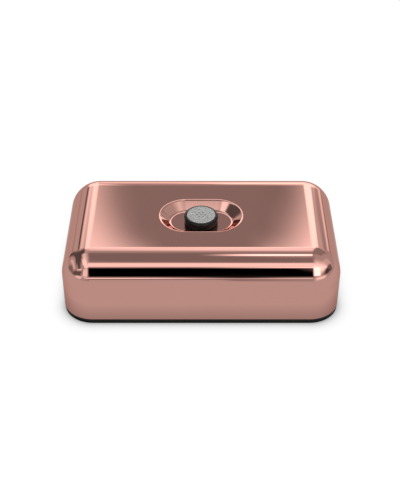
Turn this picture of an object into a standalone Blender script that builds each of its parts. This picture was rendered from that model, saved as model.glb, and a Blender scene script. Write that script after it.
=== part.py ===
"""Palm-size pore vacuum: a mirror-finished shell over a dished face, with a push-on abrasive tip,
a wobble-plate diaphragm pump, its motor, a pouch battery and a small circuit board.

The object stands on its base pad. +Z is up, -Y is the long front side and +Y the rear side with the
controls. The origin is the centre of the pad's underside. Lengths are metres, written as millimetres
times MM."""

import math

import bmesh
import bpy
from mathutils import Matrix, Vector

MM = 0.001

# ---------------------------------------------------------------- driving dimensions
LENGTH = 90 * MM
WIDTH = 54 * MM
HEIGHT = 23.7 * MM
CORNER = 10 * MM
WALL = 1.5 * MM
FLAT_GAP = 0.1 * MM
ROUND_GAP = 0.3 * MM

PAD_TOP = 0.8 * MM
BASE_INSET = 0.15 * MM
COVER_BOTTOM = PAD_TOP + FLAT_GAP
SHELL_BOTTOM = 1.6 * MM
COVER_TOP = 2.4 * MM

DISH_RIM_RADIUS = 8.9 * MM
DISH_FLOOR_RADIUS = 5.3 * MM
DISH_HALF_STRAIGHT = 4.8 * MM
DISH_DEPTH = 2.5 * MM
DISH_FLOOR = HEIGHT - DISH_DEPTH
DISH_SKIN = 1.4 * MM
DISH_UNDERSIDE = DISH_FLOOR - DISH_SKIN

TIP_TOP = 24.06 * MM
DISC_RADIUS = 4.86 * MM
DISC_THICKNESS = 0.85 * MM
NECK_RADIUS = 5.43 * MM
SPIGOT_RADIUS = 3.2 * MM
SPIGOT_BOTTOM = 14.6 * MM
SOCKET_BORE = SPIGOT_RADIUS + ROUND_GAP
SOCKET_RADIUS = 4.9 * MM
SOCKET_TOP = 19.3 * MM
SOCKET_BOTTOM = 10.8 * MM
HOSE_LEVEL = 13.2 * MM
EAR_REACH = 12.8 * MM
EAR_TOP = 18.8 * MM
EAR_BOTTOM = 17.6 * MM

PUMP_X = 26 * MM
PUMP_Z = 11.1 * MM
HEAD_WIDTH = 16.4 * MM
HEAD_CORNER = 2.5 * MM
HEAD_SCREW_REACH = 6.6 * MM
CHAMBER_REACH = 4.6 * MM
CHAMBERS = 3
TILT = math.radians(6)
PIVOT = 11.25 * MM
MOTOR_RADIUS = 10 * MM
MOTOR_HALF_HEIGHT = 7.55 * MM
SHAFT_RADIUS = 1.0 * MM

COVER_SCREW_X = 39.3 * MM
COVER_SCREW_Y = 19 * MM

BATTERY_SIZE = (33 * MM, 21.5 * MM, 10 * MM)
BATTERY_CENTRE = (-23.5 * MM, -3.6 * MM, 8.1 * MM)

BOARD_SIZE = (46 * MM, 13.2 * MM, 1.2 * MM)
BOARD_CENTRE = (-11 * MM, 17.0 * MM, 4.6 * MM)
BOARD_TOP = BOARD_CENTRE[2] + BOARD_SIZE[2] / 2
BOARD_SCREW_X = 19 * MM
BOARD_SCREW_Y = 13 * MM

BUTTON_X = 0.0
BUTTON_Z = 8.2 * MM
BUTTON_SIZE = (12 * MM, 5.4 * MM)
USB_X = -26 * MM
USB_Z = BOARD_TOP + 1.75 * MM
LED_X = -12 * MM
VENT_X = 28 * MM
VENT_COUNT = 5
VENT_PITCH = 2.6 * MM

FRONT_AXIS = (math.radians(90), 0, 0)    # turns local +Z to world -Y
REAR_AXIS = (math.radians(-90), 0, 0)    # turns local +Z to world +Y
SIDE_AXIS = (0, math.radians(90), 0)     # turns local +Z to world +X


# ---------------------------------------------------------------- scene and materials
def clear_scene():
    for obj in list(bpy.data.objects):
        bpy.data.objects.remove(obj, do_unlink=True)


def collection(name):
    made = bpy.data.collections.new(name)
    bpy.context.scene.collection.children.link(made)
    return made


def material(name, colour, roughness, metallic=0.0):
    made = bpy.data.materials.new(name)
    made.use_nodes = True
    shader = made.node_tree.nodes["Principled BSDF"]
    shader.inputs["Base Color"].default_value = (*colour, 1.0)
    shader.inputs["Roughness"].default_value = roughness
    shader.inputs["Metallic"].default_value = metallic
    return made


def make_materials():
    return {
        "rose_gold": material("rose_gold", (0.86, 0.45, 0.37), 0.04, 1.0),
        "black_plastic": material("black_plastic", (0.012, 0.012, 0.012), 0.35),
        "black_rubber": material("black_rubber", (0.015, 0.015, 0.015), 0.7),
        "grit": material("grit", (0.36, 0.37, 0.37), 0.6, 0.6),
        "steel": material("steel", (0.62, 0.62, 0.64), 0.3, 1.0),
        "brass": material("brass", (0.75, 0.55, 0.25), 0.35, 1.0),
        "copper": material("copper", (0.72, 0.33, 0.18), 0.35, 1.0),
        "white_plastic": material("white_plastic", (0.78, 0.78, 0.76), 0.45),
        "silicone": material("silicone", (0.72, 0.74, 0.74), 0.4),
        "felt": material("felt", (0.85, 0.85, 0.83), 0.95),
        "ferrite": material("ferrite", (0.05, 0.05, 0.055), 0.7),
        "pouch": material("pouch", (0.55, 0.57, 0.6), 0.35, 0.7),
        "foam": material("foam", (0.06, 0.06, 0.065), 0.95),
        "board": material("board", (0.02, 0.16, 0.07), 0.45),
        "clear": material("clear", (0.9, 0.93, 0.93), 0.1),
        "red_wire": material("red_wire", (0.55, 0.02, 0.02), 0.5),
        "black_wire": material("black_wire", (0.02, 0.02, 0.02), 0.5),
    }


clear_scene()
PARTS = collection("pore_vacuum")
CUTTERS = collection("cutters")
MATERIALS = make_materials()


# ---------------------------------------------------------------- shapes
def empty(name, location=(0, 0, 0), rotation=(0, 0, 0), parent=None):
    made = bpy.data.objects.new(name, None)
    made.location = location
    made.rotation_euler = rotation
    made.parent = parent
    PARTS.objects.link(made)
    return made


def mesh_object(name, shape, location=(0, 0, 0), rotation=(0, 0, 0), parent=None):
    mesh = bpy.data.meshes.new(name)
    shape.to_mesh(mesh)
    shape.free()
    mesh.shade_smooth()
    mesh.set_sharp_from_angle(angle=math.radians(32))
    made = bpy.data.objects.new(name, mesh)
    made.location = location
    made.rotation_euler = rotation
    made.parent = parent
    return made


def part(obj, finish):
    """Makes obj a visible piece with that material."""
    obj.data.materials.append(MATERIALS[finish])
    PARTS.objects.link(obj)
    return obj


def helper(obj):
    """Makes obj a cutter or a blank that another piece's Boolean reads."""
    obj.hide_render = True
    obj.display_type = "WIRE"
    CUTTERS.objects.link(obj)
    return obj


def box(name, size, centre=(0, 0, 0), edge=0.0, segments=2, **place):
    """A block whose upright edges are rounded to radius edge."""
    shape = bmesh.new()
    bmesh.ops.create_cube(shape, size=1.0)
    bmesh.ops.scale(shape, vec=size, verts=shape.verts)
    if edge:
        upright = [e for e in shape.edges if abs(e.verts[0].co.z - e.verts[1].co.z) > size[2] / 2]
        bmesh.ops.bevel(shape, geom=upright, offset=edge, segments=segments, profile=0.5, affect="EDGES")
    bmesh.ops.translate(shape, vec=centre, verts=shape.verts)
    return mesh_object(name, shape, **place)


def slab(name, size, low, high, edge, segments=2, **place):
    """A rounded block between two heights."""
    return box(name, (*size, high - low), (0, 0, (low + high) / 2), edge, segments, **place)


def cone(name, low_radius, high_radius, low, high, centre=(0, 0), segments=24, stretch=0.0, **place):
    """A cylinder or cone between two heights. stretch pulls its halves apart along X into a stadium."""
    shape = bmesh.new()
    bmesh.ops.create_cone(
        shape, cap_ends=True, segments=segments,
        radius1=low_radius, radius2=high_radius, depth=high - low,
    )
    half_step = math.pi / segments
    bmesh.ops.rotate(shape, matrix=Matrix.Rotation(half_step, 3, "Z"), verts=shape.verts)
    for vertex in shape.verts:
        vertex.co.x += math.copysign(stretch, vertex.co.x)
    bmesh.ops.translate(shape, vec=(*centre, (low + high) / 2), verts=shape.verts)
    return mesh_object(name, shape, **place)


def cylinder(name, radius, low, high, centre=(0, 0), segments=24, stretch=0.0, **place):
    return cone(name, radius, radius, low, high, centre, segments, stretch, **place)


def several_cylinders(name, radius, low, high, centres, segments=8, **place):
    """Separate cylinders in one helper, for a pattern of holes or posts."""
    shape = bmesh.new()
    for x, y in centres:
        made = bmesh.ops.create_cone(
            shape, cap_ends=True, segments=segments, radius1=radius, radius2=radius, depth=high - low
        )
        bmesh.ops.translate(shape, vec=(x, y, (low + high) / 2), verts=made["verts"])
    return mesh_object(name, shape, **place)


def turned(name, profile, steps=24, ring=False, **place):
    """A profile of (radius, height) points, listed down its outer side, turned about local Z."""
    shape = bmesh.new()
    points = [shape.verts.new((radius, 0, height)) for radius, height in profile]
    pairs = list(zip(points, points[1:]))
    if ring:
        pairs.append((points[-1], points[0]))
    for pair in pairs:
        shape.edges.new(pair)
    made = mesh_object(name, shape, **place)
    screw = made.modifiers.new("turn", "SCREW")
    screw.steps = screw.render_steps = steps
    screw.use_merge_vertices = True
    screw.merge_threshold = 0.00001
    screw.use_smooth_shade = True
    return made


def combine(target, other, operation):
    modifier = target.modifiers.new(other.name, "BOOLEAN")
    modifier.operation = operation
    modifier.solver = "EXACT"
    modifier.object = other
    return target


def cut(target, *cutters):
    for cutter in cutters:
        combine(target, helper(cutter), "DIFFERENCE")
    return target


def join(target, *others):
    for other in others:
        combine(target, helper(other), "UNION")
    return target


def around(count, reach, start=0.0):
    """Points spaced evenly on a circle."""
    turns = [start + 2 * math.pi * index / count for index in range(count)]
    return [(reach * math.cos(turn), reach * math.sin(turn)) for turn in turns]


def corners(x, y):
    return [(sx * x, sy * y) for sx in (-1, 1) for sy in (-1, 1)]


# ---------------------------------------------------------------- curves
def smooth_route(points, spacing):
    """Points read at even steps from a smooth curve through the route's own points."""
    route = [Vector(point) for point in points]
    ends = [2 * route[0] - route[1], *route, 2 * route[-1] - route[-2]]
    dense = []
    for before, start, stop, after in zip(ends, ends[1:], ends[2:], ends[3:]):
        for step in range(24):
            t = step / 24
            dense.append(
                0.5 * (2 * start + (stop - before) * t
                       + (2 * before - 5 * start + 4 * stop - after) * t ** 2
                       + (3 * start - before - 3 * stop + after) * t ** 3)
            )
    dense.append(route[-1])
    total = sum((b - a).length for a, b in zip(dense, dense[1:]))
    count = max(2, round(total / spacing))
    spaced, walked, target = [dense[0]], 0.0, total / count
    for a, b in zip(dense, dense[1:]):
        walked += (b - a).length
        if walked >= target * len(spaced) and len(spaced) < count:
            spaced.append(b)
    return [*spaced, dense[-1]]


def rod(name, points, radius, resolution=1):
    curve = bpy.data.curves.new(name, "CURVE")
    curve.dimensions = "3D"
    curve.bevel_depth = radius
    curve.bevel_resolution = resolution
    curve.use_fill_caps = True
    spline = curve.splines.new("POLY")
    spline.points.add(len(points) - 1)
    for slot, point in zip(spline.points, points):
        slot.co = (*point, 1.0)
    return bpy.data.objects.new(name, curve)


def rod_mesh(name, points, radius, resolution=1):
    """The rod as a closed mesh, so that a Boolean can read it."""
    bent = rod(name + "_line", points, radius, resolution)
    bpy.context.scene.collection.objects.link(bent)
    bpy.context.view_layer.update()
    graph = bpy.context.evaluated_depsgraph_get()
    mesh = bpy.data.meshes.new_from_object(bent.evaluated_get(graph))
    shape = bmesh.new()
    shape.from_mesh(mesh)
    bmesh.ops.remove_doubles(shape, verts=shape.verts, dist=0.00001)
    bmesh.ops.recalc_face_normals(shape, faces=shape.faces)
    bpy.data.objects.remove(bent, do_unlink=True)
    bpy.data.meshes.remove(mesh)
    return mesh_object(name, shape)


# ---------------------------------------------------------------- fasteners
def cross_screw(name, finish, head_radius, head, shank_radius, shank, **place):
    """A pan-head screw: its head stands on local Z = 0 and its shank runs up local +Z."""
    bevel = 0.25 * head
    screw = turned(name, [
        (0, shank),
        (shank_radius * 0.6, shank),
        (shank_radius, shank - shank_radius),
        (shank_radius, 0),
        (head_radius, 0),
        (head_radius, bevel - head),
        (head_radius - bevel, -head),
        (0, -head),
    ], 12, **place)
    slot = (1.3 * head_radius, 0.32 * head_radius, head)
    for index, size in enumerate((slot, (slot[1], slot[0], slot[2]))):
        cut(screw, box(f"{name}_slot_{index}", size, (0, 0, -head), **place))
    return part(screw, finish)


# ---------------------------------------------------------------- housing
def dish_body(name, grow, low, high):
    """The dish's sloped stadium, grown outwards, between two heights."""
    slope = (DISH_RIM_RADIUS - DISH_FLOOR_RADIUS) / DISH_DEPTH
    radii = [DISH_FLOOR_RADIUS + grow + slope * (level - DISH_FLOOR) for level in (low, high)]
    return cone(name, *radii, low, high, segments=48, stretch=DISH_HALF_STRAIGHT)


def upper_shell():
    """An open-bottomed shell with ball corners, its dish, screw bosses and rear openings."""
    shape = bmesh.new()
    bmesh.ops.create_cube(shape, size=1.0)
    bmesh.ops.scale(shape, vec=(LENGTH, WIDTH, HEIGHT - SHELL_BOTTOM), verts=shape.verts)
    bmesh.ops.translate(shape, vec=(0, 0, (HEIGHT + SHELL_BOTTOM) / 2), verts=shape.verts)
    rounded = [e for e in shape.edges if max(v.co.z for v in e.verts) > HEIGHT - CORNER]
    bmesh.ops.bevel(shape, geom=rounded, offset=CORNER, segments=7, profile=0.5, affect="EDGES")
    underside = [f for f in shape.faces if f.calc_center_median().z < SHELL_BOTTOM + 0.1 * MM]
    bmesh.ops.delete(shape, geom=underside, context="FACES_ONLY")
    shell = mesh_object("upper_shell", shape)
    wall = shell.modifiers.new("wall", "SOLIDIFY")
    wall.thickness = WALL
    wall.offset = -1
    wall.use_even_offset = True

    roof = HEIGHT - WALL / 2
    boss_centres = corners(COVER_SCREW_X, COVER_SCREW_Y)
    join(
        shell,
        dish_body("dish_backing", 1.5 * MM, DISH_UNDERSIDE, roof),
        *[cylinder(f"boss_{i}", 2.6 * MM, 4.8 * MM, 19.4 * MM, c, 16) for i, c in enumerate(boss_centres)],
        *[cylinder(f"nozzle_boss_{i}", 2.0 * MM, EAR_TOP + FLAT_GAP, roof, (x, 0), 16)
          for i, x in enumerate((-EAR_REACH, EAR_REACH))],
    )
    cut(
        shell,
        dish_body("dish_cut", 0, DISH_FLOOR, HEIGHT + 1 * MM),
        cylinder("tip_hole", 3.7 * MM, DISH_UNDERSIDE - 1 * MM, DISH_FLOOR + 1 * MM),
        several_cylinders("boss_bores", 1.1 * MM, 4 * MM, 13 * MM, boss_centres, 10),
        several_cylinders("nozzle_bores", 1.0 * MM, 18 * MM, 21.3 * MM, [(-EAR_REACH, 0), (EAR_REACH, 0)], 10),
        rear_cut("button_cut", BUTTON_X, BUTTON_Z, (BUTTON_SIZE[0] + 0.5 * MM, BUTTON_SIZE[1] + 0.5 * MM)),
        rear_cut("usb_cut", USB_X, USB_Z, (9.6 * MM, 3.8 * MM)),
        rear_cut("led_cut", LED_X, BUTTON_Z, (2.6 * MM, 2.6 * MM)),
        *[rear_cut(f"vent_cut_{i}", vent_x(i), BUTTON_Z, (1.2 * MM, 6 * MM)) for i in range(VENT_COUNT)],
    )
    return part(shell, "rose_gold")


def vent_x(index):
    return VENT_X + (index - (VENT_COUNT - 1) / 2) * VENT_PITCH


def rear_cut(name, x, z, size):
    """A round-ended slot through the rear wall."""
    edge = 0.49 * min(size)
    return slab(name, size, -4 * MM, 4 * MM, edge, 4,
                location=(x, WIDTH / 2, z), rotation=REAR_AXIS)


def motor_cradle(index, y):
    wide = 2 * (MOTOR_RADIUS + 0.4 * MM)
    block = slab(f"cradle_{index}", (wide + 2.4 * MM, 1.6 * MM), COVER_TOP - 0.4 * MM, 8.5 * MM, 0,
                 location=(PUMP_X, y, 0))
    hollow = slab(f"cradle_cut_{index}", (wide, 3 * MM), PUMP_Z - MOTOR_HALF_HEIGHT - 0.3 * MM, 12 * MM, 0,
                  location=(PUMP_X, y, 0))
    return cut(block, hollow)


def frame_wall(name, inside, thickness, low, high, edge, **place):
    """A low wall around a rounded rectangle."""
    outside = [side + 2 * thickness for side in inside]
    wall = slab(name, outside, low, high, edge + thickness, 4, **place)
    return cut(wall, slab(name + "_inside", inside, low - 1 * MM, high + 1 * MM, edge, 4, **place))


def bottom_cover():
    """The black cover: a flange under the shell's edge, a locating lip, cradles, bays and posts."""
    inner = (LENGTH - 2 * WALL - 0.6 * MM, WIDTH - 2 * WALL - 0.6 * MM)
    inner_edge = CORNER - WALL - 0.3 * MM
    cover = slab("bottom_cover", (LENGTH - 2 * BASE_INSET, WIDTH - 2 * BASE_INSET),
                 COVER_BOTTOM, SHELL_BOTTOM - 0.05 * MM, CORNER - BASE_INSET, 9)
    lip_inside = [side - 2.4 * MM for side in inner]
    battery_place = (BATTERY_CENTRE[0], BATTERY_CENTRE[1], 0)
    bay = [side + 0.8 * MM for side in BATTERY_SIZE[:2]]
    posts = board_screw_places()
    screw_places = corners(COVER_SCREW_X, COVER_SCREW_Y)
    join(
        cover,
        slab("cover_inner", inner, COVER_BOTTOM + 0.3 * MM, COVER_TOP, inner_edge, 6),
        frame_wall("cover_lip", lip_inside, 1.2 * MM, COVER_TOP - 0.4 * MM, 4.4 * MM, inner_edge - 1.2 * MM),
        frame_wall("battery_bay", bay, 0.8 * MM, COVER_TOP - 0.4 * MM, 5.4 * MM, 1 * MM, location=battery_place),
        motor_cradle(0, 2 * MM),
        motor_cradle(1, 12 * MM),
        *[cylinder(f"screw_cup_{i}", 3.1 * MM, COVER_TOP - 0.4 * MM, 4.7 * MM, c, 16)
          for i, c in enumerate(screw_places)],
        *[cylinder(f"board_post_{i}", 1.9 * MM, COVER_TOP - 0.4 * MM, 3.9 * MM, c, 12)
          for i, c in enumerate(posts)],
    )
    cut(
        cover,
        several_cylinders("head_pockets", 2.35 * MM, 0, 2.7 * MM, screw_places, 16),
        several_cylinders("screw_holes", 1.3 * MM, 0, 6 * MM, screw_places, 10),
        several_cylinders("board_bores", 1.05 * MM, 1.9 * MM, 6 * MM, posts, 10),
    )
    return part(cover, "black_plastic")


def cover_screws():
    for index, (x, y) in enumerate(corners(COVER_SCREW_X, COVER_SCREW_Y)):
        cross_screw(f"cover_screw_{index + 1}", "steel", 2.05 * MM, 1.2 * MM, 0.95 * MM, 8 * MM,
                    location=(x, y, 2.6 * MM))


def base_pad():
    return part(slab("base_pad", (LENGTH - 2 * BASE_INSET, WIDTH - 2 * BASE_INSET), 0, PAD_TOP,
                     CORNER - BASE_INSET, 9), "black_rubber")


# ---------------------------------------------------------------- tip and nozzle
def tip(axis):
    """The push-on tip: a waisted sleeve with a spigot, a perforated grit disc, a seal and a filter."""
    seat = TIP_TOP - DISC_THICKNESS - FLAT_GAP
    foot = DISH_FLOOR + 0.15 * MM
    groove_high, groove_low = 18.0 * MM, 16.6 * MM
    sleeve = turned("tip_sleeve", [
        (4.98 * MM, TIP_TOP - 0.1 * MM),
        (5.35 * MM, TIP_TOP - 0.2 * MM),
        (5.62 * MM, TIP_TOP - 0.5 * MM),
        (5.69 * MM, TIP_TOP - 0.9 * MM),
        (NECK_RADIUS, TIP_TOP - 1.4 * MM),
        (NECK_RADIUS, foot + 0.2 * MM),
        (NECK_RADIUS - 0.15 * MM, foot),
        (SPIGOT_RADIUS, foot),
        (SPIGOT_RADIUS, groove_high),
        (2.5 * MM, groove_high),
        (2.5 * MM, groove_low),
        (SPIGOT_RADIUS, groove_low),
        (SPIGOT_RADIUS, SPIGOT_BOTTOM + 0.4 * MM),
        (2.9 * MM, SPIGOT_BOTTOM),
        (2.5 * MM, SPIGOT_BOTTOM),
        (2.5 * MM, SPIGOT_BOTTOM + 1.5 * MM),
        (1.7 * MM, SPIGOT_BOTTOM + 1.5 * MM),
        (1.7 * MM, seat - 0.7 * MM),
        (3.6 * MM, seat - 0.7 * MM),
        (3.6 * MM, seat),
        (4.98 * MM, seat),
    ], 24, ring=True, parent=axis)
    part(sleeve, "black_plastic")

    disc = turned("abrasive_disc", [
        (0, TIP_TOP),
        (DISC_RADIUS - 0.15 * MM, TIP_TOP),
        (DISC_RADIUS, TIP_TOP - 0.15 * MM),
        (DISC_RADIUS, seat + FLAT_GAP),
        (0, seat + FLAT_GAP),
    ], 32, parent=axis)
    pinholes = [(0, 0), *around(6, 1.3 * MM)]
    cut(disc, several_cylinders("pinholes", 0.25 * MM, 20 * MM, 26 * MM, pinholes, 6, parent=axis))
    part(disc, "grit")

    ring_middle = (groove_high + groove_low) / 2
    ring = turned("tip_seal_ring", [
        (3.0 * MM + 0.4 * MM * math.cos(turn), ring_middle + 0.4 * MM * math.sin(turn))
        for turn in [math.pi * (3 - index) / 4 for index in range(8)]
    ], 20, ring=True, parent=axis)
    part(ring, "black_rubber")
    part(cylinder("tip_filter", 2.3 * MM, SPIGOT_BOTTOM + 0.1 * MM, SPIGOT_BOTTOM + 1.35 * MM,
                  segments=16, parent=axis), "felt")


def nozzle():
    """The fixed socket under the dish, its gasket and its two screws."""
    socket = cylinder("nozzle_socket", SOCKET_RADIUS, SOCKET_BOTTOM, SOCKET_TOP - 0.8 * MM)
    join(
        socket,
        cylinder("socket_flange", 6.2 * MM, EAR_BOTTOM + 0.2 * MM, SOCKET_TOP),
        cylinder("socket_ears", 2.2 * MM, EAR_BOTTOM, EAR_TOP, segments=24, stretch=EAR_REACH),
        cylinder("socket_barb", 1.0 * MM, SOCKET_RADIUS - 1 * MM, 8.4 * MM, segments=10,
                 location=(0, 0, HOSE_LEVEL), rotation=FRONT_AXIS),
    )
    cut(
        socket,
        cylinder("socket_bore", SOCKET_BORE, 12 * MM, 22 * MM),
        several_cylinders("ear_holes", 1.0 * MM, 15 * MM, 20 * MM, [(-EAR_REACH, 0), (EAR_REACH, 0)], 10),
        cylinder("barb_bore", 0.6 * MM, 1 * MM, 12 * MM, segments=8,
                 location=(0, 0, HOSE_LEVEL), rotation=FRONT_AXIS),
    )
    part(socket, "black_plastic")
    part(turned("nozzle_gasket", [
        (6.0 * MM, DISH_UNDERSIDE - 0.07 * MM),
        (6.0 * MM, SOCKET_TOP + 0.07 * MM),
        (3.9 * MM, SOCKET_TOP + 0.07 * MM),
        (3.9 * MM, DISH_UNDERSIDE - 0.07 * MM),
    ], 24, ring=True), "silicone")
    for index, x in enumerate((-EAR_REACH, EAR_REACH)):
        cross_screw(f"nozzle_screw_{index + 1}", "steel", 1.7 * MM, 0.9 * MM, 0.8 * MM, 3.5 * MM,
                    location=(x, 0, EAR_BOTTOM - FLAT_GAP))


def suction_tube():
    """The silicone tube from the socket's barb to the pump's inlet barb."""
    route = [
        (0, -5.3 * MM, HOSE_LEVEL),
        (0, -8.5 * MM, HOSE_LEVEL),
        (0.5 * MM, -12.3 * MM, HOSE_LEVEL),
        (3.2 * MM, -17.1 * MM, HOSE_LEVEL),
        (8.2 * MM, -19.8 * MM, HOSE_LEVEL),
        (12.5 * MM, -20.2 * MM, HOSE_LEVEL),
        (17.3 * MM, -20.2 * MM, HOSE_LEVEL),
    ]
    tube = rod_mesh("suction_tube", smooth_route(route, 1.5 * MM), 2.0 * MM, 2)
    longer = [(0, -3 * MM, HOSE_LEVEL), *route[1:-1], (19 * MM, -20.2 * MM, HOSE_LEVEL)]
    cut(tube, rod_mesh("tube_bore", smooth_route(longer, 1.5 * MM), 1.3 * MM, 1))
    return part(tube, "silicone")


# ---------------------------------------------------------------- pump, in a frame whose +Z is world -Y
def head_slab(name, low, high, parent):
    return slab(name, (HEAD_WIDTH, HEAD_WIDTH), low, high, HEAD_CORNER, 3, parent=parent)


def pump_screw_holes(name, radius, low, high, parent):
    return several_cylinders(name, radius, low, high, corners(HEAD_SCREW_REACH, HEAD_SCREW_REACH), 10,
                             parent=parent)


def chamber_centres():
    return around(CHAMBERS, CHAMBER_REACH, math.radians(90))


def pump_head(axis):
    """The stack that the four long screws hold: cover, valve plate and flaps, diaphragm and holder."""
    inlet = {"location": (0, HOSE_LEVEL - PUMP_Z, 20.2 * MM), "rotation": SIDE_AXIS, "parent": axis}
    outlet = {"location": (0, 0, 21.1 * MM), "rotation": SIDE_AXIS, "parent": axis}
    cover = head_slab("pump_cover", 19.0 * MM, 22.4 * MM, axis)
    join(
        cover,
        cylinder("inlet_barb", 1.0 * MM, -12.4 * MM, -7 * MM, segments=10, **inlet),
        cylinder("outlet_barb", 1.0 * MM, 7 * MM, 10 * MM, segments=10, **outlet),
    )
    cut(
        cover,
        turned("inlet_gallery", [
            (7.0 * MM, 20.2 * MM),
            (7.0 * MM, 18 * MM),
            (5.0 * MM, 18 * MM),
            (5.0 * MM, 20.2 * MM),
        ], 24, ring=True, parent=axis),
        cylinder("outlet_gallery", 4.2 * MM, 18 * MM, 21.5 * MM, segments=20, parent=axis),
        cylinder("inlet_bore", 0.6 * MM, -14 * MM, -5.6 * MM, segments=8, **inlet),
        cylinder("outlet_bore", 0.55 * MM, 3 * MM, 14 * MM, segments=8, **outlet),
        pump_screw_holes("cover_holes", 1.05 * MM, 18 * MM, 24 * MM, axis),
    )
    part(cover, "white_plastic")

    plate = head_slab("valve_plate", 17.2 * MM, 18.7 * MM, axis)
    ports = [point for reach in (3.2 * MM, 5.8 * MM) for point in around(CHAMBERS, reach, math.radians(90))]
    cut(
        plate,
        pump_screw_holes("plate_holes", 1.05 * MM, 16 * MM, 20 * MM, axis),
        several_cylinders("valve_ports", 0.5 * MM, 16 * MM, 20 * MM, ports, 8, parent=axis),
    )
    part(plate, "white_plastic")
    part(cut(
        slab("valve_flap", (11 * MM, 11 * MM), 18.75 * MM, 18.95 * MM, 3 * MM, 3, parent=axis),
        several_cylinders("flap_slits", 0.9 * MM, 18 * MM, 20 * MM, chamber_centres(), 8, parent=axis),
    ), "black_rubber")

    holder = head_slab("diaphragm_holder", 13.4 * MM, 15.9 * MM, axis)
    cut(
        holder,
        several_cylinders("cup_holes", 3.0 * MM, 12 * MM, 17 * MM, chamber_centres(), 16, parent=axis),
        pump_screw_holes("holder_holes", 1.05 * MM, 12 * MM, 17 * MM, axis),
    )
    part(holder, "black_plastic")

    diaphragm = head_slab("pump_diaphragm", 16.0 * MM, 17.1 * MM, axis)
    for index, (x, y) in enumerate(chamber_centres()):
        join(diaphragm, turned(f"cup_{index}", [
            (0, 16.6 * MM),
            (2.6 * MM, 16.6 * MM),
            (2.6 * MM, 13.6 * MM),
            (1.6 * MM, 12.6 * MM),
            (0.6 * MM, 12.6 * MM),
            (0.6 * MM, 9.95 * MM),
            (1.2 * MM, 9.95 * MM),
            (0.5 * MM, 9.1 * MM),
            (0, 9.1 * MM),
        ], 12, location=(x, y, 0), parent=axis))
        cut(diaphragm, cone(f"cup_hollow_{index}", 1.2 * MM, 2.0 * MM, 13.6 * MM, 18 * MM, (x, y), 12,
                            parent=axis))
    cut(diaphragm, pump_screw_holes("diaphragm_holes", 1.05 * MM, 15 * MM, 18 * MM, axis))
    part(diaphragm, "black_rubber")

    for index, (x, y) in enumerate(corners(HEAD_SCREW_REACH, HEAD_SCREW_REACH)):
        cross_screw(f"pump_screw_{index + 1}", "steel", 1.55 * MM, 0.8 * MM, 0.75 * MM, 15 * MM,
                    location=(x, y, 22.5 * MM), rotation=(math.pi, 0, 0), parent=axis)


def crankcase(axis):
    case = head_slab("crankcase", 4.3 * MM, 13.3 * MM, axis)
    cut(
        case,
        cylinder("crank_room", 7.2 * MM, 5.8 * MM, 15 * MM, segments=32, parent=axis),
        cylinder("bearing_hole", 3.4 * MM, 3 * MM, 8 * MM, segments=20, parent=axis),
        pump_screw_holes("case_bores", 1.0 * MM, 6.5 * MM, 15 * MM, axis),
    )
    part(case, "black_plastic")


def rotor(axis):
    """Everything that turns with the motor shaft, with the crank pin tilted across the axis."""
    part(cylinder("motor_shaft", SHAFT_RADIUS, -19.0 * MM, 7.4 * MM, segments=16, parent=axis), "steel")
    wheel = turned("eccentric_wheel", [
        (0, 9.4 * MM),
        (3.1 * MM, 9.4 * MM),
        (3.4 * MM, 9.1 * MM),
        (3.4 * MM, 6.4 * MM),
        (3.1 * MM, 6.1 * MM),
        (0, 6.1 * MM),
    ], 24, parent=axis)
    tilt = empty("tilt_axis", (0, 0, PIVOT), (0, TILT, 0), axis)
    cut(
        wheel,
        cylinder("shaft_bore", 1.18 * MM, 5 * MM, 7.55 * MM, segments=16, parent=axis),
        cylinder("pin_bore", 0.95 * MM, -3.5 * MM, 0, segments=12, parent=tilt),
        box("balance_cut", (4 * MM, 9 * MM, 2 * MM), (-4.1 * MM, 0, 9.2 * MM), parent=axis),
    )
    part(wheel, "white_plastic")
    part(cylinder("crank_pin", 0.75 * MM, -3.3 * MM, 0.8 * MM, segments=12, parent=tilt), "steel")

    core = cylinder("armature", 6.3 * MM, -12.5 * MM, -2.0 * MM, segments=24, parent=axis)
    slots = [
        box(f"winding_slot_{i}", (4.5 * MM, 1.6 * MM, 14 * MM), (5.2 * MM, 0, -7.2 * MM),
            rotation=(0, 0, turn), parent=axis)
        for i, turn in enumerate(math.radians(30 + 120 * n) for n in range(3))
    ]
    cut(core, cylinder("core_bore", 1.2 * MM, -14 * MM, 0, segments=16, parent=axis), *slots)
    part(core, "copper")
    commutator = cylinder("commutator", 2.4 * MM, -16.6 * MM, -13.0 * MM, segments=18, parent=axis)
    cut(commutator, cylinder("commutator_bore", 1.2 * MM, -18 * MM, -12 * MM, segments=16, parent=axis))
    part(commutator, "copper")
    return tilt


def wobble_yoke(tilt):
    """The three-armed plate that rocks on the crank pin and pulls the diaphragm's cups in turn."""
    yoke = cylinder("wobble_yoke", 2.2 * MM, -1.25 * MM, 0.5 * MM, segments=16, parent=tilt)
    join(yoke, *[
        slab(f"yoke_arm_{i}", (6.4 * MM, 3.6 * MM), -0.55 * MM, 0.55 * MM, 1.7 * MM, 3,
             location=(3.3 * MM * math.cos(turn), 3.3 * MM * math.sin(turn), 0),
             rotation=(0, 0, turn), parent=tilt)
        for i, turn in enumerate(math.radians(90 + 120 * n) for n in range(CHAMBERS))
    ])
    cut(
        yoke,
        cylinder("hub_bore", 0.92 * MM, -3 * MM, 3 * MM, segments=12, parent=tilt),
        several_cylinders("stem_holes", 1.05 * MM, -3 * MM, 3 * MM, chamber_centres(), 10, parent=tilt),
    )
    part(yoke, "white_plastic")


def flat_sided(name, radius, half_height, low, high, parent, segments=36):
    """A motor body: a cylinder with two flats."""
    round_body = cylinder(name, radius, low, high, segments=segments, parent=parent)
    keep = slab(name + "_flats", (3 * radius, 2 * half_height), low - 1 * MM, high + 1 * MM, 0, parent=parent)
    return combine(round_body, helper(keep), "INTERSECT")


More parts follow.
